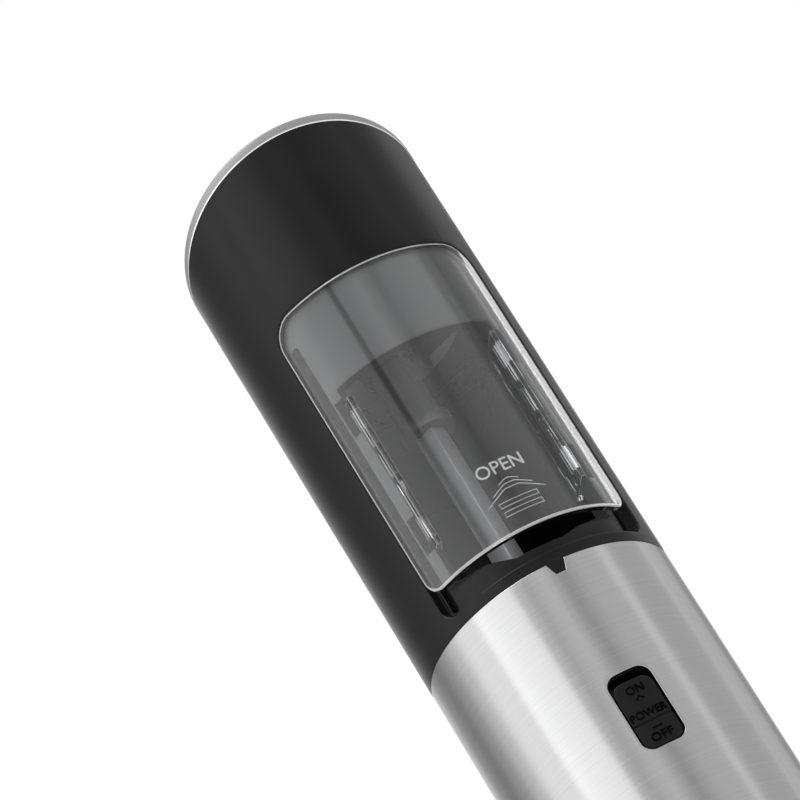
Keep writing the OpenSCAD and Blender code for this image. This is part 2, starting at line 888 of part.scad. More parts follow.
module refill_cover() {
    color([0.85, 0.87, 0.88, 0.35]) {
        intersection() {
            tube(body_r, body_r - cover_t, cover_rest_z, cover_rest_z + cover_h);
            punch_front(body_d)
                polygon(cover_outline(cover_half_w, cover_rest_z, cover_rest_z + cover_h));
        }
        for (side = [0, 1])
            mirror([side, 0, 0]) {
                intersection() {
                    cylinder(r = body_r - cover_t + 0.1, h = cover_rest_z + cover_h);
                    translate([rail_x, -body_r, rail_z0])
                        cube([rail_t, body_r + hook_y + hook_t, rail_z1 - rail_z0]);
                }
                for (z = [hook_low_z, hook_high_z])
                    translate([rail_x + eps, hook_y, z])
                        cube([rail_t + hook_w - eps, hook_t, hook_h]);
            }
    }
}

module hopper_floor() {
    color([0.14, 0.14, 0.15])
        difference() {
            union() {
                translate([0, 0, floor_z0])
                    cylinder(r = panel_in - slip, h = floor_t);
                sector(shell_in - slip, panel_in - 1, 180 - panel_angle - 0.6,
                    floor_z0, floor_z0 + floor_t, 180);
            }
            translate([0, 0, floor_z0 - 1])
                cylinder(r = seal_hub_r + slip, h = floor_t + 2);
        }
}

module shaft_seal() {
    color([0.28, 0.28, 0.28]) {
        tube(seal_hub_r, seal_r, floor_z0 - 0.3, floor_z0 + floor_t + 1);
        tube(seal_hub_r + 1.4, seal_hub_r - 0.5, floor_z0 + floor_t + 0.02, floor_z0 + floor_t + 1);
    }
}

// ---- Burrs ----

module burr_frame() {
    color([0.18, 0.18, 0.19])
        difference() {
            union() {
                tube(burr_frame_r, burr_frame_r - 3.4, burr_frame_z, burr_frame_z + burr_frame_t);
                tube(bearing_r, hub_r + hub_fit, burr_frame_z, burr_frame_z + burr_frame_t);
                for (a = [90:120:330])
                    rotate([0, 0, a])
                        translate([hub_r + 1, -1.5, burr_frame_z])
                            cube([burr_frame_r - hub_r - 2.4, 3, burr_frame_t]);
                tube(cup_r + cup_wall, cup_r, burr_frame_z, cup_top);
            }
            for (side = [0, 180])
                rotate([0, 0, side])
                    translate([cup_r - 1, -key_w / 2 - key_fit, outer_burr_z - burr_travel - 0.3])
                        cube([cup_wall + 2, key_w + 2 * key_fit, cup_top]);
            frame_screw_places()
                translate([0, 0, burr_frame_z - 1])
                    cylinder(r = frame_screw_r + 0.1, h = burr_frame_t + 2, $fn = 24);
        }
}

// Places its children at the screws that hold the burr frame on its shelf
module frame_screw_places() {
    for (a = [30:120:270])
        rotate([0, 0, a])
            translate([burr_frame_r - shelf_w + 0.4, 0, 0])
                children();
}

module frame_screws() {
    color("silver")
        frame_screw_places()
            translate([0, 0, burr_frame_z + burr_frame_t])
                screw(burr_frame_t + 1.3, frame_screw_r, 1.3, 0.9);
}

module burr_hub() {
    color([0.2, 0.2, 0.21])
        difference() {
            union() {
                translate([0, 0, hub_z0])
                    cylinder(r = hub_r, h = inner_burr_top - hub_z0);
                translate([0, 0, hub_z0])
                    cylinder(r = ring_r, h = ring_h);
                rotate([0, 0, shaft_turn - 90])
                    translate([-wing_r, -wing_t / 2, burr_frame_z - wing_h - wing_drop])
                        cube([2 * wing_r, wing_t, wing_h]);
            }
            square_bar(shaft_w + 2 * shaft_fit, hub_z0 - 1, hub_bore_top);
            translate([0, 0, inner_burr_top - burr_screw_l - 1])
                cylinder(r = burr_screw_r + slack, h = burr_screw_l + 2, $fn = 24);
        }
}

// Cone that both burrs are cut to
module burr_cone(low_r, high_r, h) {
    rotate_extrude()
        polygon([[0, 0], [low_r, 0], [high_r, h], [0, h]]);
}

// Grooves down the cone, which leave a burr's teeth between them
module burr_grooves(low_r, h) {
    for (i = [0:burr_teeth - 1])
        rotate([0, 0, 360 * i / burr_teeth])
            translate([low_r, 0, 0])
                rotate([0, burr_tilt, 0])
                    rotate([0, 0, 45])
                        translate([-tooth_d / 2, -tooth_d / 2, -2])
                            cube([tooth_d, tooth_d, h / cos(burr_tilt) + 4]);
}

module inner_burr() {
    color([0.93, 0.92, 0.88])
        translate([0, 0, inner_burr_z])
            difference() {
                burr_cone(inner_burr_low_r, burr_r, inner_burr_h);
                translate([0, 0, -eps])
                    cylinder(r = hub_r + press_gap, h = inner_burr_h + 2 * eps);
                burr_grooves(inner_burr_low_r, inner_burr_h);
            }
}

module outer_burr() {
    low_r = inner_burr_low_r + burr_gap + (outer_burr_z - inner_burr_z) * tan(burr_tilt);
    height = outer_burr_top - outer_burr_z;
    color([0.95, 0.94, 0.9])
        difference() {
            union() {
                translate([0, 0, outer_burr_z])
                    cylinder(r = outer_burr_r, h = height);
                for (side = [0, 180])
                    rotate([0, 0, side])
                        translate([outer_burr_r - 1, -key_w / 2, outer_burr_z])
                            cube([cup_wall + 0.6, key_w, height]);
            }
            translate([0, 0, outer_burr_z - eps])
                burr_cone(low_r, low_r + (height + 2 * eps) * tan(burr_tilt), height + 2 * eps);
            translate([0, 0, outer_burr_z])
                burr_grooves(low_r, height);
        }
}

module burr_nut() {
    color("silver")
        tube(nut_r, burr_screw_r + shaft_fit, inner_burr_top, inner_burr_top + nut_t);
}

module burr_screw() {
    color("silver")
        translate([0, 0, inner_burr_top + nut_t])
            screw(nut_t + burr_screw_l, burr_screw_r, burr_screw_head_r, burr_screw_head_h);
}

module coarseness_ring() {
    top_z = cup_top + 0.3 + adjuster_t;
    color([0.22, 0.22, 0.23]) {
        tube(adjuster_skirt_r + adjuster_wall, adjuster_skirt_r, adjuster_z0, top_z);
        tube(adjuster_skirt_r + 0.5, outlet_r, top_z - adjuster_t, top_z);
        for (i = [0:rib_count - 1])
            rotate([0, 0, 360 * (i + 0.5) / rib_count])
                translate([outlet_r + 1, -rib_t / 2, top_z - eps])
                    cube([rib_l, rib_t, rib_t]);
    }
}

// ---- Outlet lid ----

module outlet_lid() {
    color([0.55, 0.55, 0.56])
        union() {
            intersection() {
                cylinder(r = body_r, h = slant_z + body_d);
                slant_slab(0.02, lid_t);
            }
            difference() {
                intersection() {
                    tube(plug_r, plug_r - plug_wall, sleeve_top, slant_z + body_d);
                    slant_slab(-plug_h, 0.1);
                }
                intersection() {
                    tube(plug_r + 1, plug_r - plug_seal_d, sleeve_top, slant_z + body_d);
                    slant_slab(-plug_h + 1.2, -plug_h + 1.2 + plug_seal_w);
                }
            }
        }
}

module lid_seal() {
    color([0.3, 0.3, 0.3])
        intersection() {
            tube(shell_in - 0.12, plug_r - plug_seal_d + 0.02, sleeve_top, slant_z + body_d);
            slant_slab(-plug_h + 1.25, -plug_h + 1.15 + plug_seal_w);
        }
}

foot_pad();
base_cap();
chassis();
steel_sleeve();
battery_magazine();
battery_cells();
contact_springs();
contact_plates();
motor_can();
motor_endbell();
motor_magnets();
motor_rotor();
motor_plate();
gearbox_housing();
motor_pinion();
planet_1a();
planet_1b();
planet_1c();
first_carrier();
planet_2a();
planet_2b();
planet_2c();
output_carrier();
drive_shaft();
deck_plate();
deck_screws();
circuit_board();
board_parts();
slide_switch();
switch_frame();
power_slider();
head_shell();
hopper_floor();
shaft_seal();
refill_cover();
burr_frame();
burr_hub();
inner_burr();
outer_burr();
burr_nut();
burr_screw();
coarseness_ring();
frame_screws();
outlet_lid();
lid_seal();
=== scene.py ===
"""Looks for a battery pepper mill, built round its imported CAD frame.

The mill stands on its foot with +Z up and its front, with the power slider and the
refill cover, towards -Y. Lengths are in metres. Curved walls are laid out flat, as a
sheet whose x runs round the body, whose z runs up it and whose y is the depth below
the skin, and are then wrapped round the mill's axis.
"""

import json
import logging
import math
from dataclasses import dataclass
from enum import Enum
from functools import cache
from typing import Iterable, Sequence

import bmesh
import bpy
from bmesh.types import BMEdge, BMesh, BMFace
from mathutils import Matrix, Vector


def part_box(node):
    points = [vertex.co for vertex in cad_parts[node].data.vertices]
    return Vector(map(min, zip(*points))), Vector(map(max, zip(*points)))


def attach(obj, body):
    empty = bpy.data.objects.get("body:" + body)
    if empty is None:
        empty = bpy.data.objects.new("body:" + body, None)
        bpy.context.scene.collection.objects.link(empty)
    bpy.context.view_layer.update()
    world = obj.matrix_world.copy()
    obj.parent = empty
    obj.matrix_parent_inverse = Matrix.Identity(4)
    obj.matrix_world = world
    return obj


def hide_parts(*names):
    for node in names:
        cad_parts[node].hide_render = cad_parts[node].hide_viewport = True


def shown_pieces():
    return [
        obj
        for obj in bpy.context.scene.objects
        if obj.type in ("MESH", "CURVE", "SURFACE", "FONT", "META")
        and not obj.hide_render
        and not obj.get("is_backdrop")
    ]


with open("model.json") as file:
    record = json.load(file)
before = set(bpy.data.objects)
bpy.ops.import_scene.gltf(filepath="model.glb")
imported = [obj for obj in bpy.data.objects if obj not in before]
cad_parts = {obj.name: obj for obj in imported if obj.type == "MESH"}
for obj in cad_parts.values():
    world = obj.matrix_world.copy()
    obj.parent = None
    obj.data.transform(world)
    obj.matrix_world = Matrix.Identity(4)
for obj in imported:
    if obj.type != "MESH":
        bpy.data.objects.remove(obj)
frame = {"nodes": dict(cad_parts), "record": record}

LOG = logging.getLogger("pepper_mill")
MM = 0.001
WELD = 1e-6  # points closer than this are one point
NEAR = 1e-7  # points this close to a cutting plane lie on it
FLAT_RIM = 0.12 * MM  # level band beside a round, for even shading
SPARE = 4 * MM  # extra length at each end of a sheet, cut off at the seam
DRAFT = 0.01 * MM  # how far an upright wall leans in
SHARP = 40.0  # angle in degrees past which an edge of a CAD node is eased
SMOOTH_LIMIT = 35.0  # angle in degrees past which an edge isn't shaded smooth
CAPITAL = 0.7  # height of a capital as a share of the font's size
ORIGIN = (0.0, 0.0, 0.0)
ACROSS = (1.0, 0.0, 0.0)
UP = (0.0, 0.0, 1.0)
Point = tuple[float, float]


# ---- Datums taken from the frame ----


@dataclass(frozen=True)
class Datums:
    """Places that the looks share, read from the CAD nodes' boxes.

    Args:
        body_r: radius of the mill's body.
        sleeve_z0: height of the steel sleeve's lower edge.
        sleeve_top: height of the steel sleeve's upper edge.
        cover_z0: height of the refill cover's lower edge at rest.
        cover_z1: height of the refill cover's upper edge at rest.
        slant_z: height of the slanted end on the axis.
        slant_angle: tilt of the slanted end in degrees, highest at the front.
        shaft_turn: angle in degrees at which the square shaft stands.
    """

    body_r: float
    sleeve_z0: float
    sleeve_top: float
    cover_z0: float
    cover_z1: float
    slant_z: float
    slant_angle: float = 19.2
    shaft_turn: float = 42.4

    @classmethod
    def read(cls) -> "Datums":
        """Reads the datums from the frame.

        Returns:
            The datums.
        """
        sleeve_low, sleeve_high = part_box("steel_sleeve")
        cover_low, cover_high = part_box("refill_cover")
        shell_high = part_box("head_shell")[1]
        rise = sleeve_high.x * math.tan(math.radians(cls.slant_angle))
        return cls(
            body_r=sleeve_high.x,
            sleeve_z0=sleeve_low.z,
            sleeve_top=sleeve_high.z,
            cover_z0=cover_low.z,
            cover_z1=cover_high.z,
            slant_z=shell_high.z - rise,
        )

    @property
    def slant_normal(self) -> Vector:
        """Direction that the slanted end faces."""
        tilt = math.radians(self.slant_angle)
        return Vector((0.0, math.sin(tilt), math.cos(tilt)))

    def on_slant(self, lift: float) -> Vector:
        """Point on the axis that lies lift above the slanted end, along its normal."""
        return Vector((0.0, 0.0, self.slant_z + lift / self.slant_normal.z))


# ---- Shaping meshes ----


def inset(bm: BMesh, face: BMFace, thickness: float, depth: float) -> None:
    """Insets one face evenly and moves it along its normal.

    Args:
        bm: mesh that holds the face.
        face: face to inset; it stays the innermost one.
        thickness: width of the new rim.
        depth: distance along the face's normal, negative to sink it.
    """
    bmesh.ops.inset_individual(
        bm,
        faces=[face],
        thickness=thickness,
        depth=depth,
        use_even_offset=True,
        use_interpolate=True,
        use_relative_offset=False,
    )


def quarter_round(steps: int) -> list[Point]:
    """Steps of a unit quarter round; the pairs begin long and short and end short and long."""
    turns = [math.pi / 2 * i / steps for i in range(steps + 1)]
    return [(math.sin(b) - math.sin(a), math.cos(a) - math.cos(b)) for a, b in zip(turns, turns[1:])]


def sink(bm: BMesh, face: BMFace, lip: float, depth: float, root: float = 0.0, steps: int = 4) -> None:
    """Sinks a face below a rounded lip, with an optional fillet at the root.

    Args:
        bm: mesh that holds the face.
        face: face to sink; its outline is the lip's outer edge.
        lip: radius of the rounded lip.
        depth: how far the face ends below where it was.
        root: radius of the fillet at the foot of the wall.
        steps: segments in each quarter round.
    """
    inset(bm, face, FLAT_RIM, 0.0)
    for run, drop in quarter_round(steps):
        inset(bm, face, lip * run, -lip * drop)
    inset(bm, face, DRAFT, -(depth - lip - root))
    if root > 0.0:
        for drop, run in quarter_round(steps):
            inset(bm, face, root * run, -root * drop)
        inset(bm, face, FLAT_RIM, 0.0)


def crown(bm: BMesh, face: BMFace, lip: float, steps: int = 4) -> None:
    """Raises a face by its lip's radius over a quarter round.

    Args:
        bm: mesh that holds the face.
        face: face to raise; its outline stays at the foot of the round.
        lip: radius of the rounded rim.
        steps: segments in the quarter round.
    """
    for rise, run in quarter_round(steps):
        inset(bm, face, lip * run, lip * rise)
    inset(bm, face, FLAT_RIM, 0.0)


def loop_face(bm: BMesh, outline: Sequence[Point], depth: float, outward: bool = True) -> BMFace:
    """Makes one flat face on the sheet from its outline.

    Args:
        bm: mesh to add to.
        outline: (x, z) corners, anticlockwise as seen from outside the mill.
        depth: depth of the face below the skin.
        outward: whether the face looks out of the mill.

    Returns:
        The new face.
    """
    points = list(outline) if outward else list(reversed(outline))
    return bm.faces.new([bm.verts.new((x, depth, z)) for x, z in points])


def rounded_outline(
    width: float, z0: float, z1: float, top_r: float, low_r: float, x0: float = 0.0
) -> list[Point]:
    """Outline of a rectangle with round corners, made by bevelling a grid's corners.

    Args:
        width: width round the body.
        z0: lower edge.
        z1: upper edge.
        top_r: radius of the two upper corners.
        low_r: radius of the two lower corners.
        x0: middle of the rectangle round the body.

    Returns:
        The corners, anticlockwise as seen from outside.
    """
    bm = bmesh.new()
    middle = (z0 + z1) / 2
    place = Matrix.Translation((x0, 0.0, middle)) @ Matrix.Rotation(math.pi / 2, 4, "X")
    size = Matrix.Diagonal((width / 2, (z1 - z0) / 2, 1.0, 1.0))
    bmesh.ops.create_grid(bm, x_segments=1, y_segments=1, size=1.0, matrix=place @ size)
    for radius, upper in ((top_r, True), (low_r, False)):
        if radius > 0.0:
            bmesh.ops.bevel(
                bm,
                geom=[v for v in bm.verts if (v.co.z > middle) == upper],
                offset=radius,
                offset_type="OFFSET",
                segments=8,
                profile=0.5,
                affect="VERTICES",
                material=-1,
            )
    face = next(iter(bm.faces))
    outline = [(v.co.x, v.co.z) for v in face.verts]
    if face.normal.y > 0.0:
        outline.reverse()
    bm.free()
    return outline


def open_face(bm: BMesh, face: BMFace) -> list[BMEdge]:
    """Takes a face away and keeps its edges.

    Args:
        bm: mesh that holds the face.
        face: face to remove.

    Returns:
        The edges that were round it.
    """
    edges = list(face.edges)
    bmesh.ops.delete(bm, geom=[face], context="FACES_ONLY")
    return edges


def fill_between(bm: BMesh, edges: Iterable[BMEdge], outward: bool = True) -> None:
    """Fills the flat region between an outer loop and the loops inside it.

    Args:
        bm: mesh that holds the loops.
        edges: edges of all the loops.
        outward: whether the region looks out of the mill.
    """
    bmesh.ops.triangle_fill(
        bm,
        use_beauty=True,
        use_dissolve=False,
        edges=list(edges),
        normal=(0.0, -1.0 if outward else 1.0, 0.0),
    )


def draw_edges(bm: BMesh, edges: Iterable[BMEdge], move: Vector) -> list[BMEdge]:
    """Extrudes edges and moves the copies.

    Args:
        bm: mesh that holds the edges.
        edges: edges to extrude.
        move: how far the new edges move.

    Returns:
        The new edges.
    """
    result = bmesh.ops.extrude_edge_only(bm, edges=list(edges))
    verts = [g for g in result["geom"] if isinstance(g, bmesh.types.BMVert)]
    bmesh.ops.translate(bm, vec=move, verts=verts)
    return [g for g in result["geom"] if isinstance(g, BMEdge) and g.is_boundary]


def add_pad(
    bm: BMesh, outline: Sequence[Point], top: float, bottom: float, lip: float, steps: int = 4
) -> None:
    """Adds a closed pad with a crowned face.

    Args:
        bm: mesh to add to.
        outline: outline of the pad.
        top: depth of its face.
        bottom: depth of its back.
        lip: radius of its rim.
        steps: segments across the rim.
    """
    face = loop_face(bm, outline, top + lip)
    rim = list(face.edges)
    crown(bm, face, lip, steps)
    draw_edges(bm, rim, Vector((0.0, bottom - top - lip, 0.0)))
    loop_face(bm, outline, bottom, outward=False)
    bmesh.ops.remove_doubles(bm, verts=bm.verts[:], dist=WELD)


def cut(
    bm: BMesh, point: Sequence[float], normal: Sequence[float], near: float = NEAR, clear: bool = False
) -> None:
    """Cuts everything along a plane.

    Args:
        bm: mesh to cut.
        point: a point on the plane.
        normal: the plane's normal.
        near: how close to the plane a point lies on it.
        clear: whether what lies on the normal's side goes away.
    """
    bmesh.ops.bisect_plane(
        bm,
        geom=bm.verts[:] + bm.edges[:] + bm.faces[:],
        dist=near,
        plane_co=point,
        plane_no=normal,
        clear_outer=clear,
    )


def trim(bm: BMesh, point: Sequence[float], normal: Sequence[float]) -> None:
    """Cuts away what lies on the side of a plane that its normal points to."""
    cut(bm, point, normal, WELD, clear=True)


def cut_seam(bm: BMesh, half: float) -> None:
    """Cuts a sheet to one full turn and straightens its two upright edges.

    Args:
        bm: flat sheet, a little longer than one turn.
        half: half the length of the turn.
    """
    for side in (-1.0, 1.0):
        trim(bm, (side * half, 0.0, 0.0), (side, 0.0, 0.0))
    bmesh.ops.remove_doubles(bm, verts=bm.verts[:], dist=WELD)
    seam = [v for v in bm.verts if abs(abs(v.co.x) - half) < WELD]
    bmesh.ops.dissolve_limit(
        bm,
        angle_limit=math.radians(0.5),
        use_dissolve_boundaries=True,
        verts=seam,
        edges=[e for e in bm.edges if all(v in seam for v in e.verts)],
        delimit=set(),
    )


def wrap(bm: BMesh, radius: float, strips: int = 180, rows: int = 1) -> None:
    """Slices a flat sheet into upright strips and wraps it round the mill's axis.

    Args:
        bm: sheet with x round the body, y below the skin and z up.
        radius: radius of the skin.
        strips: number of strips in a full turn.
        rows: number of level rows that the sheet is cut into, for even shading.
    """
    foot = min(v.co.z for v in bm.verts)
    rise = max(v.co.z for v in bm.verts) - foot
    for i in range(1, rows):
        cut(bm, (0.0, 0.0, foot + rise * i / rows), UP)
    step = math.tau * radius / strips
    low = min(v.co.x for v in bm.verts)
    high = max(v.co.x for v in bm.verts)
    for i in range(math.ceil(low / step), math.floor(high / step) + 1):
        cut(bm, (i * step, 0.0, 0.0), ACROSS)
    for v in bm.verts:
        turn, reach = v.co.x / radius, radius - v.co.y
        v.co = Vector((reach * math.sin(turn), -reach * math.cos(turn), v.co.z))
    close_up(bm)


def close_up(bm: BMesh) -> None:
    """Merges doubled points and turns every face outwards."""
    bmesh.ops.remove_doubles(bm, verts=bm.verts[:], dist=WELD)
    bmesh.ops.recalc_face_normals(bm, faces=bm.faces[:])


def ease_edges(bm: BMesh, edges: Iterable[BMEdge], offset: float, segments: int = 3) -> list[BMFace]:
    """Rounds edges over.

    Args:
        bm: mesh that holds the edges.
        edges: edges to round.
        offset: width of the round.
        segments: segments across it.

    Returns:
        The faces of the rounds.
    """
    result = bmesh.ops.bevel(
        bm,
        geom=list(edges),
        offset=offset,
        offset_type="OFFSET",
        segments=segments,
        profile=0.5,
        affect="EDGES",
        clamp_overlap=True,
        material=-1,
    )
    return list(result["faces"])


def sharp_edges(bm: BMesh, degrees: float) -> list[BMEdge]:
    """Edges whose two faces meet at more than an angle."""
    limit = math.radians(degrees)
    return [e for e in bm.edges if len(e.link_faces) == 2 and e.calc_face_angle() > limit]


def lathe(bm: BMesh, profile: Sequence[Point], steps: int = 160) -> None:
    """Spins a closed profile round the mill's axis.

    Args:
        bm: mesh to add to.
        profile: (radius, height) corners of a closed outline off the axis.
        steps: segments in the turn.
    """
    verts = [bm.verts.new((r, 0.0, z)) for r, z in profile]
    edges = [bm.edges.new((a, b)) for a, b in zip(verts, verts[1:] + verts[:1])]
    bmesh.ops.spin(
        bm,
        geom=verts + edges,
        cent=ORIGIN,
        axis=UP,
        angle=math.tau,
        steps=steps,
        use_merge=True,
        use_duplicate=False,
    )


def box_between(bm: BMesh, low: Sequence[float], high: Sequence[float], ease: float) -> None:
    """Adds a block with eased edges.

    Args:
        bm: mesh to add to.
        low: lowest corner.
        high: highest corner.
        ease: width of the eased edges.
    """
    size = [h - l for l, h in zip(low, high)]
    middle = [(h + l) / 2 for l, h in zip(low, high)]
    place = Matrix.Translation(middle) @ Matrix.Diagonal((*size, 1.0))
    verts = bmesh.ops.create_cube(bm, size=1.0, matrix=place)["verts"]
    edges = {e for v in verts for e in v.link_edges}
    ease_edges(bm, edges, ease, 2)


def add_mesh(bm: BMesh, mesh: bpy.types.Mesh) -> None:
    """Adds a mesh to a bmesh and takes the mesh away."""
    bm.from_mesh(mesh)
    bpy.data.meshes.remove(mesh)


def as_mesh(bm: BMesh, name: str) -> bpy.types.Mesh:
    """Turns a finished bmesh into a mesh and frees it.

    Args:
        bm: the finished bmesh.
        name: name of the mesh.

    Returns:
        The mesh.
    """
    mesh = bpy.data.meshes.new(name)
    bm.to_mesh(mesh)
    bm.free()
    return mesh


def new_object(name: str, data: bpy.types.ID) -> bpy.types.Object:
    """Makes an object and puts it into the scene.

    Args:
        name: name of the object.
        data: its mesh, curve, light or camera.

    Returns:
        The object.
    """
    obj = bpy.data.objects.new(name, data)
    bpy.context.scene.collection.objects.link(obj)
    return obj


# ---- Finishes ----


class Graph:
    """A node tree with short ways to add and join nodes."""

    def __init__(self, tree: bpy.types.NodeTree) -> None:
        """Starts an empty tree."""
        self.tree = tree
        tree.nodes.clear()

    def link(self, source: bpy.types.NodeSocket, target: bpy.types.NodeSocket) -> None:
        """Joins two sockets."""
        self.tree.links.new(source, target)

    def add(self, kind: str, inputs: dict | None = None, **values: object) -> bpy.types.Node:
        """Adds a node, sets its properties and then its inputs.

        Args:
            kind: the node's type name without its ShaderNode prefix.
            inputs: sockets to join or plain values to set, by input name or number.
            values: properties of the node.

        Returns:
            The node.
        """
        prefix = "" if kind.startswith("NodeGroup") else "ShaderNode"
        node = self.tree.nodes.new(prefix + kind)
        for key, value in values.items():
            setattr(node, key, value)
        for key, value in (inputs or {}).items():
            if isinstance(value, bpy.types.NodeSocket):
                self.link(value, node.inputs[key])
            else:
                node.inputs[key].default_value = value
        return node

    def maths(self, operation: str, *terms: object) -> bpy.types.NodeSocket:
        """Adds a Math node whose terms are sockets or numbers and returns its result."""
        return self.add("Math", dict(enumerate(terms)), operation=operation).outputs[0]

    def blend(
        self, factor: bpy.types.NodeSocket, first: bpy.types.Node, second: bpy.types.Node
    ) -> bpy.types.NodeSocket:
        """Adds a Mix Shader node between two shaders and returns its result."""
        sockets = {0: factor, 1: first.outputs[0], 2: second.outputs[0]}
        return self.add("MixShader", sockets).outputs[0]


def new_material(name: str) -> tuple[bpy.types.Material, Graph]:
    """Makes a material with an empty node tree.

    Args:
        name: name of the material.

    Returns:
        The material and its empty graph.
    """
    material = bpy.data.materials.new(name)
    material.use_nodes = True
    return material, Graph(material.node_tree)


def new_group(name: str, inputs: dict[str, str], outputs: dict[str, str]) -> bpy.types.NodeTree:
    """Makes an empty shader node group.

    Args:
        name: name of the group.
        inputs: socket types by name.
        outputs: socket types by name.

    Returns:
        The group's tree.
    """
    tree = bpy.data.node_groups.new(name, "ShaderNodeTree")
    for direction, sockets in (("INPUT", inputs), ("OUTPUT", outputs)):
        for socket, kind in sockets.items():
            tree.interface.new_socket(name=socket, in_out=direction, socket_type=kind)
    return tree


FLOAT = "NodeSocketFloat"
VECTOR = "NodeSocketVector"


@cache
def grain_group() -> bpy.types.NodeTree:
    """Group for the fine spark texture of moulded plastic and its slow mottling.

    Returns:
        The group, built once.
    """
    tree = new_group(
        "moulded_grain",
        {"Vector": VECTOR, "Grain Scale": FLOAT, "Mottle Scale": FLOAT},
        {"Height": FLOAT, "Mottle": FLOAT},
    )
    g = Graph(tree)
    given = g.add("NodeGroupInput").outputs
    place = given["Vector"]
    fine = g.add("TexNoise", {"Vector": place, "Scale": given["Grain Scale"], "Detail": 3.0})
    slow = g.add("TexNoise", {"Vector": place, "Scale": given["Mottle Scale"], "Detail": 2.0})
    g.add("NodeGroupOutput", {"Height": fine.outputs["Fac"], "Mottle": slow.outputs["Fac"]})
    return tree


@cache
def brushed_group() -> bpy.types.NodeTree:
    """Group for brushed or drawn metal, with long and short scratches in one direction.

    Returns:
        The group, built once.
    """
    tree = new_group("brushed_lines", {"Vector": VECTOR}, {"Height": FLOAT, "Streak": FLOAT})
    g = Graph(tree)
    place = g.add("NodeGroupInput").outputs["Vector"]
    fine = g.add("TexNoise", {"Vector": place, "Scale": 1.0, "Detail": 5.0, "Roughness": 0.65})
    broad = g.add("TexNoise", {"Vector": place, "Scale": 0.35, "Detail": 4.0})
    height = fine.outputs["Fac"]
    streak = g.maths("MULTIPLY", height, broad.outputs["Fac"])
    g.add("NodeGroupOutput", {"Height": height, "Streak": streak})
    return tree


class Lay(Enum):
    """Direction in which a metal is brushed."""

    NONE = (1.0, 1.0, 1.0)
    ROUND = (60.0, 60.0, 9000.0)
    ALONG = (5000.0, 5000.0, 60.0)


@dataclass(frozen=True)
class Finish:
    """An opaque finish with its own grain.

    Args:
        slot: material slot of the record.
        color: base colour, linear.
        roughness: middle roughness.
        metallic: 1 for metals.
        specular: specular level.
        grain: height of the grain in metres.
        grain_scale: grains per metre.
        mottle: spread of the roughness.
        tint: spread of the colour.
        coat: weight of a clear coat.
        lay: direction of brushing.
        anisotropic: strength of the stretched highlight.
    """

    slot: str
    color: tuple[float, float, float]
    roughness: float
    metallic: float = 0.0
    specular: float = 0.5
    grain: float = 0.004 * MM
    grain_scale: float = 4000.0
    mottle: float = 0.06
    tint: float = 0.1
    coat: float = 0.0
    lay: Lay = Lay.NONE
    anisotropic: float = 0.0

    def build(self) -> bpy.types.Material:
        """Builds the material.

        Returns:
            The material, named after its slot.
        """
        material, g = new_material(self.slot)
        shader = g.add(
            "BsdfPrincipled",
            {
                "Metallic": self.metallic,
                "Specular IOR Level": self.specular,
                "Coat Weight": self.coat,
                "Coat Roughness": 0.25,
                "Anisotropic": self.anisotropic,
            },
        )
        height, variation = self._texture(g, g.add("TexCoord").outputs["Object"])
        self._spread(g, variation, shader)
        bump = g.add("Bump", {"Strength": 1.0, "Distance": self.grain, "Height": height})
        g.link(bump.outputs["Normal"], shader.inputs["Normal"])
        if self.anisotropic > 0.0:
            tangent = g.add("Tangent", direction_type="RADIAL", axis="Z")
            g.link(tangent.outputs["Tangent"], shader.inputs["Tangent"])
        g.add("OutputMaterial", {"Surface": shader.outputs["BSDF"]})
        return material

    def _texture(
        self, g: Graph, place: bpy.types.NodeSocket
    ) -> tuple[bpy.types.NodeSocket, bpy.types.NodeSocket]:
        """Adds the grain or the brushing.

        Args:
            g: the material's nodes.
            place: where on the piece a point lies.

        Returns:
            Its height and its variation.
        """
        if self.lay is Lay.NONE:
            scales = {"Vector": place, "Grain Scale": self.grain_scale, "Mottle Scale": 60.0}
            grain = g.add("Group", scales, node_tree=grain_group())
            return grain.outputs["Height"], grain.outputs["Mottle"]
        stretch = g.add("Mapping", {"Vector": place, "Scale": self.lay.value})
        lines = {"Vector": stretch.outputs["Vector"]}
        brushed = g.add("Group", lines, node_tree=brushed_group())
        return brushed.outputs["Height"], brushed.outputs["Streak"]

    def _spread(self, g: Graph, variation: bpy.types.NodeSocket, shader: bpy.types.Node) -> None:
        """Lets the variation move the roughness and the colour.

        Args:
            g: the material's nodes.
            variation: slow change over the piece.
            shader: the material's shader.
        """
        if self.mottle > 0.0:
            low, high = self.roughness - self.mottle, self.roughness + self.mottle
            reach = {"From Min": 0.25, "From Max": 0.75, "To Min": low, "To Max": high}
            rough = g.add("MapRange", {"Value": variation, **reach})
            g.link(rough.outputs["Result"], shader.inputs["Roughness"])
        else:
            shader.inputs["Roughness"].default_value = self.roughness
        dark = (*(c * (1.0 - self.tint) for c in self.color), 1.0)
        pale = (*(min(1.0, c * (1.0 + self.tint)) for c in self.color), 1.0)
        mix = g.add("MixRGB", {"Fac": variation, "Color1": dark, "Color2": pale})
        g.link(mix.outputs["Color"], shader.inputs["Base Color"])


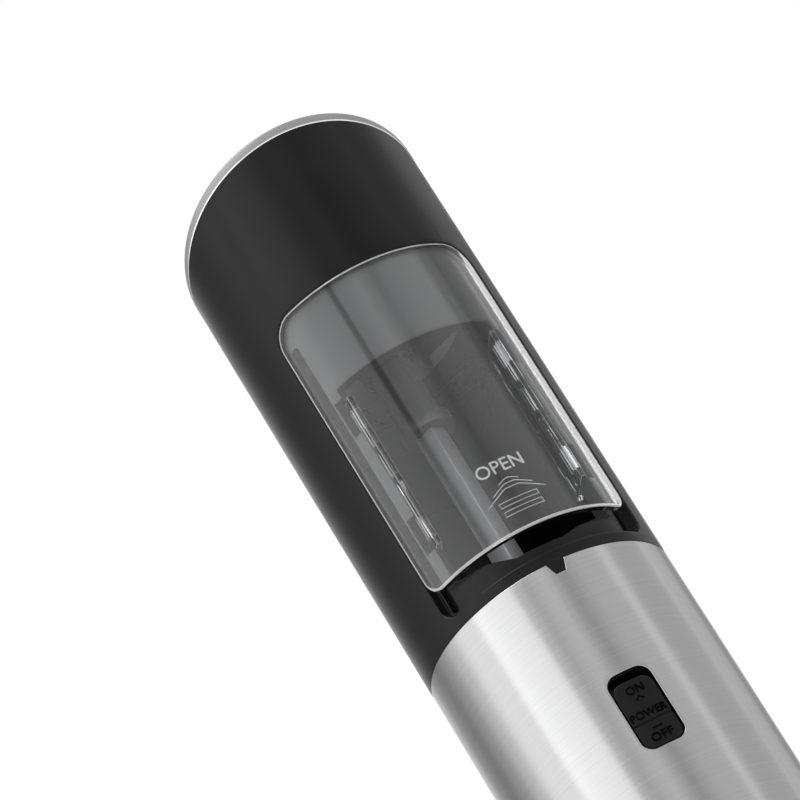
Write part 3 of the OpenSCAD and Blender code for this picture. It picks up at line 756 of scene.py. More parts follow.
@dataclass(frozen=True)
class ClearPlastic:
    """Clear polished plastic that lets light and shadow rays through.

    Args:
        slot: material slot of the record.
        color: tint of what is seen through it.
        roughness: roughness of its polish.
        ior: refractive index.
        clear: how clear it is; below 1 a near-white share is mixed in, painted highlight on edges and marks.
    """

    slot: str
    color: tuple[float, float, float]
    roughness: float
    ior: float = 1.49
    clear: float = 1.0

    def build(self) -> bpy.types.Material:
        """Builds the material.

        Returns:
            The material, named after its slot.
        """
        material, g = new_material(self.slot)
        color = (*self.color, 1.0)
        scales = {"Grain Scale": 900.0, "Mottle Scale": 90.0}
        place = g.add("TexCoord").outputs["Object"]
        grain = g.add("Group", {"Vector": place, **scales}, node_tree=grain_group())
        reach = {"To Min": self.roughness * 0.5, "To Max": self.roughness * 1.5}
        rough = g.add("MapRange", {"Value": grain.outputs["Mottle"], **reach})
        shader = g.add(
            "BsdfPrincipled",
            {
                "Metallic": 0.0,
                "Transmission Weight": self.clear,
                "IOR": self.ior,
                "Base Color": color,
                "Roughness": rough.outputs["Result"],
            },
        )
        through = g.add("BsdfTransparent", {"Color": color})
        shadow = g.add("LightPath").outputs["Is Shadow Ray"]
        g.add("OutputMaterial", {"Surface": g.blend(shadow, shader, through)})
        return material


FINISHES: tuple[Finish | ClearPlastic, ...] = (
    Finish("black_satin", (0.005, 0.005, 0.0052), 0.27, specular=0.18, grain=0.002 * MM, grain_scale=5000.0),
    # painted light: a lighter copy of the black, used on the seat behind the cover so that it reads brighter
    # than the seat below
    Finish("seat_black_painted_light", (0.03, 0.03, 0.0305), 0.16, specular=0.7, grain=0.0001 * MM, mottle=0.0),
    # painted shade: near-black, all but unreflective letters, standing in for the shade along the slider's
    # moulded letter strokes
    Finish("letter_painted_shade", (0.0006, 0.0006, 0.0006), 0.8, specular=0.05),
    Finish("hub_grey", (0.09, 0.09, 0.091), 0.4, specular=0.6, grain=0.0005 * MM),
    Finish("bright_trim", (0.88, 0.88, 0.89), 0.16, metallic=1.0, grain=0.0005 * MM, mottle=0.03, tint=0.02),
    Finish(
        "sleeve_steel",
        (0.45, 0.45, 0.455),
        0.21,
        metallic=1.0,
        grain=0.004 * MM,
        mottle=0.06,
        tint=0.12,
        lay=Lay.ROUND,
        anisotropic=0.5,
    ),
    ClearPlastic("clear_cover", (0.95, 0.96, 0.97), 0.02),
    # painted highlight: partly opaque near-white clear plastic on the cover's rounded rim and the rails'
    # eased edges, standing in for the glints along them
    ClearPlastic("clear_edge_painted_highlight", (0.95, 0.95, 0.95), 0.15, clear=0.6),
    # painted highlight: partly opaque near-white clear plastic on the raised word and arrow, standing in for
    # the glints along their edges
    ClearPlastic("clear_mark_painted_highlight", (0.92, 0.92, 0.92), 0.15, clear=0.7),
    Finish("lid_grey", (0.27, 0.27, 0.275), 0.42, metallic=0.4, grain=0.002 * MM, mottle=0.05),
    Finish("black_rubber", (0.015, 0.015, 0.015), 0.8, specular=0.3, grain=0.01 * MM, grain_scale=2500.0),
    Finish("inner_black", (0.02, 0.02, 0.021), 0.5, specular=0.4, grain=0.0005 * MM),
    Finish("inner_white", (0.75, 0.75, 0.71), 0.45),
    Finish("cell_jacket", (0.12, 0.16, 0.24), 0.35, coat=0.4),
    Finish("zinc_steel", (0.55, 0.55, 0.56), 0.35, metallic=1.0, grain=0.003 * MM, lay=Lay.ROUND),
    Finish("magnet", (0.04, 0.04, 0.045), 0.6, grain=0.01 * MM),
    Finish("copper_armature", (0.55, 0.24, 0.1), 0.4, metallic=1.0, lay=Lay.ALONG),
    Finish("brass_gear", (0.72, 0.5, 0.18), 0.3, metallic=1.0, lay=Lay.ROUND),
    Finish("board_green", (0.02, 0.14, 0.05), 0.35, coat=0.3),
    Finish("shaft_steel", (0.62, 0.62, 0.63), 0.4, metallic=0.45, grain=0.003 * MM, lay=Lay.ALONG),
    Finish("burr_ceramic", (0.8, 0.78, 0.72), 0.3, coat=0.2, grain=0.006 * MM, grain_scale=3000.0),
)


@dataclass(frozen=True)
class Workshop:
    """What every sub-assembly needs: the datums and the finishes.

    Args:
        at: places shared by the pieces.
        finishes: materials by slot.
    """

    at: Datums
    finishes: dict[str, bpy.types.Material]

    def piece(
        self,
        name: str,
        bm: BMesh,
        slots: Sequence[str],
        body: str,
        replaced: Sequence[str] = (),
    ) -> bpy.types.Object:
        """Turns a finished bmesh into a piece that rides on a body.

        Args:
            name: name of the piece.
            bm: the piece's mesh, in place.
            slots: material slots, in the order of the mesh's material indices.
            body: CAD body that it rides on.
            replaced: CAD nodes that it stands for.

        Returns:
            The piece's object.
        """
        mesh = as_mesh(bm, name)
        mesh.shade_smooth()
        mesh.set_sharp_from_angle(angle=math.radians(SMOOTH_LIMIT))
        for slot in slots:
            mesh.materials.append(self.finishes[slot])
        obj = new_object(name, mesh)
        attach(obj, body)
        if replaced:
            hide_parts(*replaced)
        LOG.info("%s: %d faces on %s", name, len(mesh.polygons), body)
        return obj

    def eased_copy(self, node: str, name: str, slot: str, body: str, width: float) -> bpy.types.Object:
        """Copies a CAD node, eases its edges and lets the copy stand for it.

        Args:
            node: CAD node to copy.
            name: name of the piece.
            slot: material slot.
            body: CAD body that it rides on.
            width: width of the eased edges.

        Returns:
            The piece's object.
        """
        bm = bmesh.new()
        bm.from_mesh(frame["nodes"][node].data)
        bmesh.ops.remove_doubles(bm, verts=bm.verts[:], dist=WELD)
        bmesh.ops.dissolve_limit(
            bm,
            angle_limit=math.radians(0.4),
            use_dissolve_boundaries=False,
            verts=bm.verts[:],
            edges=bm.edges[:],
            delimit=set(),
        )
        ease_edges(bm, sharp_edges(bm, SHARP), width, 2)
        return self.piece(name, bm, [slot], body, [node])


# ---- Lettering ----


def curve_mesh(curve: bpy.types.Curve) -> bpy.types.Mesh:
    """Turns a curve into a mesh and takes the curve away.

    Args:
        curve: the curve.

    Returns:
        The mesh.
    """
    holder = new_object(curve.name, curve)
    bpy.context.view_layer.update()
    graph = bpy.context.evaluated_depsgraph_get()
    mesh = bpy.data.meshes.new_from_object(holder.evaluated_get(graph))
    bpy.data.objects.remove(holder)
    bpy.data.curves.remove(curve)
    return mesh


def text_mesh(words: str, height: float, width: float, raised: float) -> bpy.types.Mesh:
    """Makes plain sans-serif lettering as a mesh about its own middle.

    Args:
        words: the letters.
        height: height of a capital.
        width: width of the whole word.
        raised: thickness of the letters.

    Returns:
        The mesh, in the XY plane.
    """
    curve = bpy.data.curves.new("letters", "FONT")
    curve.body = words
    curve.size = height / CAPITAL
    curve.align_x = "CENTER"
    curve.align_y = "CENTER"
    curve.resolution_u = 4
    curve.extrude = raised / 2
    mesh = curve_mesh(curve)
    xs = [v.co.x for v in mesh.vertices]
    ys = [v.co.y for v in mesh.vertices]
    stretch = width / (max(xs) - min(xs))
    for v in mesh.vertices:
        v.co.x = (v.co.x - (max(xs) + min(xs)) / 2) * stretch
        v.co.y -= (max(ys) + min(ys)) / 2
    return mesh


def line_mesh(lines: Sequence[Sequence[Point]], radius: float, closed: bool = False) -> bpy.types.Mesh:
    """Makes round wires along flat lines.

    Args:
        lines: corners of each line in the XY plane.
        radius: radius of the wire.
        closed: whether each line comes back to its start.

    Returns:
        The mesh.
    """
    curve = bpy.data.curves.new("marks", "CURVE")
    curve.dimensions = "3D"
    curve.bevel_depth = radius
    curve.bevel_resolution = 1
    curve.use_fill_caps = True
    for points in lines:
        spline = curve.splines.new("POLY")
        spline.points.add(len(points) - 1)
        spline.use_cyclic_u = closed
        for target, (x, y) in zip(spline.points, points):
            target.co = (x, y, 0.0, 1.0)
    return curve_mesh(curve)


def add_upright(bm: BMesh, mesh: bpy.types.Mesh, x: float, z: float, depth: float) -> None:
    """Stands a flat mesh up on a sheet and adds it to the sheet.

    Args:
        bm: the sheet.
        mesh: mesh in the XY plane, read from +Z.
        x: its middle round the body.
        z: its middle up the body.
        depth: depth of its middle plane below the skin.
    """
    mesh.transform(Matrix.Translation((x, depth, z)) @ Matrix.Rotation(math.pi / 2, 4, "X"))
    add_mesh(bm, mesh)


# ---- Lower body ----


@dataclass(frozen=True)
class LowerBody:
    """Steel sleeve, power slider, its frame, the base cap and the foot.

    Args:
        shop: datums and finishes.
        wall: wall of the sleeve.
        window_w: width of the sleeve's window for the slider.
        window_h: height of that window.
        window_z: middle of that window below the sleeve's top.
        window_r: corner radius of that window.
        tab_top: half width of the locating tab at the sleeve's edge.
        tab_tip: half width of the tab's tip.
        tab_h: height of the tab.
        tab_gap: gap round the tab.
    """

    shop: Workshop
    wall: float = 0.6 * MM
    window_w: float = 8.8 * MM
    window_h: float = 16.6 * MM
    window_z: float = 34.7 * MM
    window_r: float = 2.4 * MM
    tab_top: float = 1.75 * MM
    tab_tip: float = 0.9 * MM
    tab_h: float = 2.4 * MM
    tab_gap: float = 0.15 * MM

    def build(self) -> None:
        """Builds every piece of the lower body."""
        self.sleeve()
        self.slider()
        shop = self.shop
        shop.eased_copy("base_cap", "base_cap_shell", "black_satin", "base_cap", 0.35 * MM)
        shop.eased_copy("foot_pad", "foot_ring", "black_rubber", "base_cap", 0.3 * MM)
        shop.eased_copy("switch_frame", "slider_frame", "black_satin", "power_unit", 0.12 * MM)
        shop.eased_copy("deck_plate", "deck_disc", "inner_black", "power_unit", 0.2 * MM)

    def _border(self, reach: float) -> list[Point]:
        """Outline of the sleeve laid flat, with the notch for the tab in its upper edge.

        Args:
            reach: half the length of the sheet.

        Returns:
            The corners, anticlockwise as seen from outside.
        """
        at = self.shop.at
        top, gap = at.sleeve_top, self.tab_gap
        return [
            (-reach, at.sleeve_z0),
            (reach, at.sleeve_z0),
            (reach, top),
            (self.tab_top + gap, top),
            (self.tab_tip + gap, top - self.tab_h - gap),
            (-self.tab_tip - gap, top - self.tab_h - gap),
            (-self.tab_top - gap, top),
            (-reach, top),
        ]

    def sleeve(self) -> None:
        """Builds the brushed sleeve with its window and notch."""
        at, lip = self.shop.at, 0.12 * MM
        half = math.pi * at.body_r
        border = self._border(half + SPARE)
        middle = at.sleeve_top - self.window_z
        rim_w = lip + FLAT_RIM
        window = rounded_outline(
            self.window_w + 2 * rim_w,
            middle - self.window_h / 2 - rim_w,
            middle + self.window_h / 2 + rim_w,
            self.window_r + rim_w,
            self.window_r + rim_w,
        )
        bm = bmesh.new()
        skin = loop_face(bm, border, lip)
        rim = list(skin.edges)
        crown(bm, skin, lip, 3)
        hole = loop_face(bm, window, 0.0)
        hole_rim = list(hole.edges)
        sink(bm, hole, lip, self.wall, steps=3)
        back_hole = open_face(bm, hole)
        fill_between(bm, open_face(bm, skin) + hole_rim)
        draw_edges(bm, rim, Vector((0.0, self.wall - lip, 0.0)))
        back = loop_face(bm, border, self.wall, outward=False)
        fill_between(bm, open_face(bm, back) + back_hole, outward=False)
        cut_seam(bm, half)
        wrap(bm, at.body_r, rows=24)
        self.shop.piece("brushed_sleeve", bm, ["sleeve_steel"], "power_unit", ["steel_sleeve"])

    def slider(self) -> None:
        """Builds the power slider with its two pads, groove and raised letters."""
        low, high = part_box("power_slider")
        width = high.x - low.x
        round_r, tight_r = self.window_r - 0.25 * MM, 0.3 * MM
        split, groove = low.z + 5.35 * MM, 0.5 * MM
        step, back, slack = 0.4 * MM, 3.2 * MM, 0.05 * MM
        foot = step + 0.2 * MM
        bm = bmesh.new()
        for across, z0, z1, top_r, low_r, top, bottom, lip in (
            (width - 2 * slack, low.z + slack, high.z - slack, round_r, round_r, step, back, slack),
            (width, split + groove / 2, high.z, round_r, tight_r, 0.0, foot, tight_r),
            (width, low.z, split - groove / 2, tight_r, round_r, 0.0, foot, tight_r),
        ):
            add_pad(bm, rounded_outline(across, z0, z1, top_r, low_r), top, bottom, lip)
        plain = set(bm.faces)
        for words, long, tall, z in (
            ("ON", 3.5 * MM, 1.7 * MM, high.z - 2.2 * MM),
            ("POWER", 7.4 * MM, 1.55 * MM, split + 1.75 * MM),
            ("OFF", 4.4 * MM, 1.7 * MM, low.z + 1.95 * MM),
        ):
            add_upright(bm, text_mesh(words, tall, long, 0.3 * MM), 0.0, z, 0.0)
        hint = [(-0.8 * MM, -0.35 * MM), (0.0, 0.35 * MM), (0.8 * MM, -0.35 * MM)]
        dash = [(-1.0 * MM, 0.0), (1.0 * MM, 0.0)]
        for line, z in ((hint, high.z - 4.1 * MM), (dash, split - 1.55 * MM)):
            add_upright(bm, line_mesh([line], 0.15 * MM), 0.0, z, 0.0)
        # the letters, the arrow and the dash take the painted-shade near-black finish
        for face in bm.faces:
            face.material_index = 0 if face in plain else 1
        wrap(bm, -low.y, 360)
        middle, stem = self.shop.at.sleeve_top - self.window_z, (1.3 * MM, 1.8 * MM)
        near = (-stem[0], low.y + 3.0 * MM, middle - stem[1])
        box_between(bm, near, (stem[0], high.y, middle + stem[1]), 0.1 * MM)
        slots = ["black_satin", "letter_painted_shade"]
        self.shop.piece("power_slider_cap", bm, slots, "power_slider", ["power_slider"])


# ---- Head ----


@dataclass(frozen=True)
class Head:
    """Black head shell with the refill cover's recess, its grooves and the refill opening.

    Args:
        shop: datums and finishes.
        wall: wall of the shell.
        recess: depth of the recess.
        recess_arc: half width of the recess round the body.
        recess_low: height of the recess's lower edge above the sleeve.
        recess_gap: gap above the cover.
        opening_arc: half width of the refill opening, in degrees.
        opening_top: height of the opening's upper edge above the sleeve.
        spigot_r: radius of the spigot inside the sleeve.
        spigot_h: height of the spigot.
        panel_angle: half width of the thick front panel, in degrees.
        groove_x: distance of each groove from the front's middle, round the body.
        groove_w: width of a groove.
    """

    shop: Workshop
    wall: float = 2.4 * MM
    recess: float = 2.1 * MM
    recess_arc: float = 24.8 * MM
    recess_low: float = 2.2 * MM
    recess_gap: float = 0.2 * MM
    opening_arc: float = 42.0
    opening_top: float = 56.3 * MM
    spigot_r: float = 25.2 * MM
    spigot_h: float = 11.4 * MM
    panel_angle: float = 68.0
    groove_x: float = 22.65 * MM
    groove_w: float = 2.1 * MM

    def build(self) -> None:
        """Builds the head shell and eases what shows through the cover."""
        self.shell()
        shop = self.shop
        shop.eased_copy("hopper_floor", "hopper_floor_disc", "inner_black", "head", 0.3 * MM)
        shop.eased_copy("shaft_seal", "shaft_seal_ring", "black_rubber", "head", 0.2 * MM)
        shop.eased_copy("burr_frame", "burr_spider", "inner_black", "head", 0.2 * MM)

    def _opening(self) -> list[Point]:
        """Outline of the refill opening with its dipped sill and hook notches.

        Returns:
            The corners, anticlockwise as seen from outside.
        """
        at, arc = self.shop.at, math.radians(self.opening_arc) * self.shop.at.body_r
        base, notch = at.sleeve_top, 2.2 * MM
        low, high = base + 16.6 * MM, base + 45.7 * MM
        tall = 8.5 * MM
        right = [
            (arc, base + 7.8 * MM),
            (arc, low),
            (arc + notch, low),
            (arc + notch, low + tall),
            (arc, low + tall),
            (arc, high),
            (arc + notch, high),
            (arc + notch, high + tall),
            (arc, high + tall),
            (arc, base + self.opening_top),
        ]
        left = [(-x, z) for x, z in reversed(right)]
        left[-1] = (-arc, base + 8.4 * MM)
        sill = [
            (-11.4 * MM, base + 7.2 * MM),
            (-5.6 * MM, base + 5.0 * MM),
            (5.1 * MM, base + 5.0 * MM),
            (9.5 * MM, base + 6.2 * MM),
        ]
        return sill + right + left

    def shell(self) -> None:
        """Builds the head shell."""
        at, lip = self.shop.at, 0.3 * MM
        half = math.pi * at.body_r
        top = at.slant_z + at.body_r
        bottom = at.sleeve_top + 0.02 * MM
        spigot_z = at.sleeve_top - self.spigot_h
        bm = bmesh.new()
        skin = loop_face(bm, rounded_outline(2 * (half + SPARE), bottom, top, 0.0, 0.0), lip)
        rim = list(skin.edges)
        crown(bm, skin, lip)
        recess_z0 = at.sleeve_top + self.recess_low
        recess_z1 = at.cover_z1 + self.recess_gap
        outline = rounded_outline(2 * self.recess_arc, recess_z0, recess_z1, 6.2 * MM, 3.8 * MM)
        recess = loop_face(bm, outline, 0.0)
        recess_rim = list(recess.edges)
        sink(bm, recess, lip, self.recess, root=0.2 * MM)
        fill_between(bm, open_face(bm, skin) + recess_rim)
        floor = open_face(bm, recess)
        groove_z0, groove_z1 = at.sleeve_top + 3.9 * MM, at.cover_z1 - 6.0 * MM
        for x in (-self.groove_x, self.groove_x):
            outline = rounded_outline(self.groove_w, groove_z0, groove_z1, 0.8 * MM, 1.0 * MM, x)
            groove = loop_face(bm, outline, self.recess)
            floor += list(groove.edges)
            sink(bm, groove, 0.12 * MM, 1.4 * MM, steps=2)
        opening = loop_face(bm, self._opening(), self.recess)
        floor += list(opening.edges)
        sink(bm, opening, 0.25 * MM, self.wall)
        mouth = open_face(bm, opening)
        fill_between(bm, floor)
        chain = [e for e in rim if all(abs(v.co.z - bottom) < WELD for v in e.verts)]
        inward = at.body_r - self.spigot_r
        chain = draw_edges(bm, chain, Vector((0.0, inward - lip, 0.0)))
        chain = draw_edges(bm, chain, Vector((0.0, 0.0, spigot_z - bottom)))
        draw_edges(bm, chain, Vector((0.0, self.wall - inward, 0.0)))
        self._inside(bm, mouth, spigot_z, top)
        self._paint_seat_light(bm)
        cut_seam(bm, half)
        wrap(bm, at.body_r, rows=24)
        trim(bm, at.on_slant(0.0), at.slant_normal)
        plane = at.on_slant(0.0)
        ends = [
            e
            for e in bm.edges
            if e.is_boundary and all(abs((v.co - plane).dot(at.slant_normal)) < WELD for v in e.verts)
        ]
        bmesh.ops.bridge_loops(bm, edges=ends)
        close_up(bm)
        self._rings(bm)
        self._tab(bm)
        # the second slot is painted light, the lighter black on the seat behind the cover
        self.shop.piece("head_skin", bm, ["black_satin", "seat_black_painted_light"], "head", ["head_shell"])

    def _paint_seat_light(self, bm: BMesh) -> None:
        """Paints light on the seat behind the cover, with a lighter, glossier black there than the satin
        below.

        Args:
            bm: the shell's flat sheet.
        """
        edge_z = self.shop.at.cover_z0 + 1.0 * MM
        cut(bm, (0.0, 0.0, edge_z), UP)
        # painted light: the level seat above this edge takes the lighter black
        for face in bm.faces:
            level = all(abs(v.co.y - self.recess) < WELD for v in face.verts)
            face.material_index = 1 if level and face.calc_center_median().z > edge_z else 0

    def _inside(self, bm: BMesh, mouth: list[BMEdge], spigot_z: float, top: float) -> None:
        """Adds the inner wall, which is thicker behind the recess.

        Args:
            bm: the shell's flat sheet.
            mouth: edges of the opening at the inner face.
            spigot_z: lower end of the spigot.
            top: upper end of the sheet.
        """
        at = self.shop.at
        reach = math.pi * at.body_r + SPARE
        inner = loop_face(bm, rounded_outline(2 * reach, spigot_z, top, 0.0, 0.0), self.wall, outward=False)
        width = 2 * math.radians(self.panel_angle) * at.body_r
        z0, z1 = at.sleeve_top + 0.6 * MM, at.cover_z1 + 3.2 * MM
        panel = loop_face(bm, rounded_outline(width, z0, z1, 1.0 * MM, 1.0 * MM), self.wall, outward=False)
        fill_between(bm, open_face(bm, inner) + list(panel.edges), outward=False)
        inset(bm, panel, DRAFT, self.recess)
        fill_between(bm, open_face(bm, panel) + mouth, outward=False)

    def _rings(self, bm: BMesh) -> None:
        """Adds the ledge at the sleeve's edge and the shelf under the burr frame.

        Args:
            bm: the finished shell.
        """
        at = self.shop.at
        inner = at.body_r - self.wall
        shelf_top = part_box("burr_frame")[0].z
        for low, high, width in (
            (at.sleeve_top - 0.6 * MM, at.sleeve_top + 0.6 * MM, 1.4 * MM),
            (shelf_top - 1.7 * MM, shelf_top, 3.9 * MM),
        ):
            ring = bmesh.new()
            outer = inner + 0.2 * MM
            lathe(ring, [(outer, low), (outer, high), (inner - width, high), (inner - width, low)], 96)
            close_up(ring)
            add_mesh(bm, as_mesh(ring, "ring"))

    def _tab(self, bm: BMesh) -> None:
        """Adds the locating tab that hangs into the sleeve's notch.

        Args:
            bm: the finished shell.
        """
        at, size = self.shop.at, LowerBody
        half = [
            (size.tab_tip, at.sleeve_top - size.tab_h),
            (size.tab_top, at.sleeve_top),
            (size.tab_top, at.sleeve_top + 0.4 * MM),
        ]
        outline = [(-x, z) for x, z in reversed(half)] + half
        tab = bmesh.new()
        add_pad(tab, outline, 0.0, 1.3 * MM, 0.1 * MM, 2)
        wrap(tab, at.body_r)
        add_mesh(bm, as_mesh(tab, "tab"))


@dataclass(frozen=True)
class RefillCover:
    """Clear sliding cover with its rails, hooks, raised word and arrow.

    Args:
        shop: datums and finishes.
        wall: thickness of the cover.
        arc: half width round the body.
        top_r: radius of the upper corners.
        low_r: radius of the lower corners.
        rail_x: where each rail's inner face stands.
        rail_t: thickness of a rail.
        rail_back: y of a rail's free edge.
    """

    shop: Workshop
    wall: float = 1.8 * MM
    arc: float = 24.6 * MM
    top_r: float = 6.0 * MM
    low_r: float = 3.6 * MM
    rail_x: float = 14.5 * MM
    rail_t: float = 1.2 * MM
    rail_back: float = -11.0 * MM

    def build(self) -> None:
        """Builds the cover and what is moulded on it."""
        at, lip = self.shop.at, 0.45 * MM
        outline = rounded_outline(2 * self.arc, at.cover_z0, at.cover_z1, self.top_r, self.low_r)
        bm = bmesh.new()
        face = loop_face(bm, outline, lip)
        rim = list(face.edges)
        crown(bm, face, lip)
        draw_edges(bm, rim, Vector((0.0, self.wall - lip - 0.2 * MM, 0.0)))
        back = loop_face(bm, outline, self.wall - 0.2 * MM, outward=False)
        crown(bm, back, 0.2 * MM, 2)
        bmesh.ops.remove_doubles(bm, verts=bm.verts[:], dist=WELD)
        # the rounded rim takes the painted-highlight clear
        for side in bm.faces:
            rounded = side is not face and all(v.co.y < lip + WELD for v in side.verts)
            side.material_index = 1 if rounded else 0
        wrap(bm, at.body_r)
        slots = ["clear_cover", "clear_edge_painted_highlight"]
        self.shop.piece("clear_refill_cover", bm, slots, "refill_cover", ["refill_cover"])
        self._rails()
        self._marks()

    def _rails(self) -> None:
        """Builds the two rails."""
        bm = bmesh.new()
        for side in (1.0, -1.0):
            rail = self._rail()
            bmesh.ops.scale(rail, vec=(side, 1.0, 1.0), verts=rail.verts[:])
            bmesh.ops.recalc_face_normals(rail, faces=rail.faces[:])
            add_mesh(bm, as_mesh(rail, "rail"))
        self.shop.piece("cover_rails", bm, ["clear_cover", "clear_edge_painted_highlight"], "refill_cover")

    def _rail(self) -> BMesh:
        """Makes one rail, a plate with three windows, two detents and two hooks.

        Returns:
            The rail that stands on the +X side.
        """
        z0 = self.shop.at.cover_z0 + 7.7 * MM
        front, back, top = -19.6 * MM, self.rail_back, z0 + 36.5 * MM
        profile = [(front, z0), (back + 0.6 * MM, z0), (back, z0 + 1.2 * MM)]
        for detent in (z0 + 15.6 * MM, z0 + 23.2 * MM):
            profile += [
                (back, detent),
                (back - 1.1 * MM, detent + 0.8 * MM),
                (back - 0.2 * MM, detent + 2.0 * MM),
            ]
        profile += [(back, top - 2.0 * MM), (back - 2.4 * MM, top), (front, top)]
        window_y = (-17.4 * MM, -16.2 * MM)
        bm = bmesh.new()
        edges = self._upright(bm, profile)
        for low, high in ((3.0, 16.0), (18.0, 23.5), (25.5, 34.5)):
            z1, z2 = z0 + low * MM, z0 + high * MM
            corners = [(window_y[0], z1), (window_y[1], z1), (window_y[1], z2), (window_y[0], z2)]
            edges += self._upright(bm, corners)
        bmesh.ops.triangle_fill(bm, use_beauty=True, use_dissolve=True, edges=edges, normal=ACROSS)
        grown = bmesh.ops.extrude_face_region(bm, geom=bm.faces[:])
        moved = [g for g in grown["geom"] if isinstance(g, bmesh.types.BMVert)]
        bmesh.ops.translate(bm, vec=(self.rail_t, 0.0, 0.0), verts=moved)
        close_up(bm)
        # the rails' eased edges take the painted-highlight clear
        for face in ease_edges(bm, sharp_edges(bm, 50.0), 0.1 * MM, 2):
            face.material_index = 1
        bmesh.ops.translate(bm, vec=(self.rail_x, 0.0, 0.0), verts=bm.verts[:])
        side_x = self.rail_x + self.rail_t
        for z in (z0 + 0.6 * MM, z0 + 29.7 * MM):
            near = (side_x - 0.1 * MM, back - 1.2 * MM, z)
            box_between(bm, near, (side_x + 1.7 * MM, back, z + 5.0 * MM), 0.12 * MM)
        return bm

    @staticmethod
    def _upright(bm: BMesh, corners: Sequence[Point]) -> list[BMEdge]:
        """Adds a loop of edges through (y, z) corners and returns it."""
        return open_face(bm, bm.faces.new([bm.verts.new((0.0, y, z)) for y, z in corners]))

    def _marks(self) -> None:
        """Builds the raised word and the stepped arrow inside the cover."""
        at, line, middle = self.shop.at, 0.09 * MM, 1.1 * MM
        depth = self.wall + 0.02 * MM
        bm = bmesh.new()
        word = text_mesh("OPEN", 2.8 * MM, 10.2 * MM, 0.14 * MM)
        add_upright(bm, word, middle, at.sleeve_top + 23.6 * MM, depth)
        chevrons, bars = [], []
        for w, z in ((2.2, 3.6), (4.4, 2.6), (6.4, 1.6)):
            foot, tip = z - 0.35 * w, 0.25 * w
            chevrons.append([(-w, foot), (-tip, z), (tip, z), (w, foot)])
        for w, z in ((4.2, -1.4), (4.2, -3.4)):
            bars.append([(-w, z - 0.5), (w, z - 0.5), (w, z + 0.5), (-w, z + 0.5)])
        for lines, closed in ((chevrons, False), (bars, True)):
            wires = line_mesh([[(x * MM, z * MM) for x, z in points] for points in lines], line, closed)
            add_upright(bm, wires, middle, at.sleeve_top + 17.0 * MM, depth)
        # the word and arrow take the painted-highlight clear
        for face in bm.faces:
            face.material_index = 1
        wrap(bm, at.body_r)
        self.shop.piece("cover_marks", bm, ["clear_cover", "clear_mark_painted_highlight"], "refill_cover")


@dataclass(frozen=True)
class Drive:
    """Square shaft, burr hub and the other turning pieces that show.

    Args:
        shop: datums and finishes.
        width: width of the shaft across its flats.
        arris: width of the shaft's eased edges.
    """

    shop: Workshop
    width: float = 4.6 * MM
    arris: float = 0.3 * MM

    def build(self) -> None:
        """Builds the shaft and eases the hub, the burrs' nut and the coarseness ring."""
        low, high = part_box("drive_shaft")
        bm = bmesh.new()
        half = self.width / 2
        box_between(bm, (-half, -half, low.z), (half, half, high.z), self.arris)
        turn = Matrix.Rotation(math.radians(self.shop.at.shaft_turn), 3, "Z")
        bmesh.ops.rotate(bm, cent=ORIGIN, matrix=turn, verts=bm.verts[:])
        shop = self.shop
        shop.piece("square_shaft", bm, ["shaft_steel"], "drive", ["drive_shaft"])
        hub = shop.eased_copy("burr_hub", "burr_hub_boss", "inner_black", "inner_burr", 0.25 * MM)
        hub.data.materials[0] = shop.finishes["hub_grey"]
        shop.eased_copy("burr_nut", "burr_clamp_nut", "zinc_steel", "inner_burr", 0.15 * MM)
        shop.eased_copy("coarseness_ring", "coarseness_dial", "inner_black", "coarseness_ring", 0.2 * MM)


@dataclass(frozen=True)
class OutletLid:
    """Slanted lid over the outlet, with its plug and its polished lower rim.

    Args:
        shop: datums and finishes.
        thick: thickness of the lid.
        plug_r: outer radius of the plug.
        plug_wall: wall of the plug.
        plug_h: depth of the plug.
    """

    shop: Workshop
    thick: float = 2.2 * MM
    plug_r: float = 23.3 * MM
    plug_wall: float = 1.4 * MM
    plug_h: float = 4.0 * MM

    def build(self) -> None:
        """Builds the lid."""
        at = self.shop.at
        normal = at.slant_normal
        bm = bmesh.new()
        bmesh.ops.create_cone(
            bm,
            cap_ends=True,
            segments=180,
            radius1=at.body_r,
            radius2=at.body_r,
            depth=4 * at.body_r,
            matrix=Matrix.Translation((0.0, 0.0, at.slant_z)),
        )
        for lift, side in ((0.0, -1.0), (self.thick, 1.0)):
            trim(bm, at.on_slant(lift), normal * side)
            bmesh.ops.holes_fill(bm, edges=[e for e in bm.edges if e.is_boundary], sides=0)
        close_up(bm)
        rims = sharp_edges(bm, 40.0)
        plane = at.on_slant(self.thick / 2)
        upper = [e for e in rims if (e.verts[0].co - plane).dot(normal) > 0.0]
        lower = [e for e in rims if (e.verts[0].co - plane).dot(normal) < 0.0]
        ease_edges(bm, upper, 0.7 * MM, 5)
        for face in ease_edges(bm, lower, 0.24 * MM, 2):
            face.material_index = 1
        add_mesh(bm, as_mesh(self._plug(), "plug"))
        self.shop.piece("slanted_lid", bm, ["lid_grey", "bright_trim"], "outlet_lid", ["outlet_lid"])

    def _plug(self) -> BMesh:
        """Makes the plug, a ring cut off parallel to the lid at both ends.

        Returns:
            The plug.
        """
        at = self.shop.at
        ring = bmesh.new()
        outer, inner = self.plug_r, self.plug_r - self.plug_wall
        low, high = at.slant_z - 2 * at.body_r, at.slant_z + 2 * at.body_r
        lathe(ring, [(outer, low), (outer, high), (inner, high), (inner, low)])
        for lift, side in ((-self.plug_h, -1.0), (0.1 * MM, 1.0)):
            trim(ring, at.on_slant(lift), at.slant_normal * side)
            bmesh.ops.bridge_loops(ring, edges=[e for e in ring.edges if e.is_boundary])
        close_up(ring)
        ease_edges(ring, sharp_edges(ring, 50.0), 0.2 * MM, 2)
        return ring


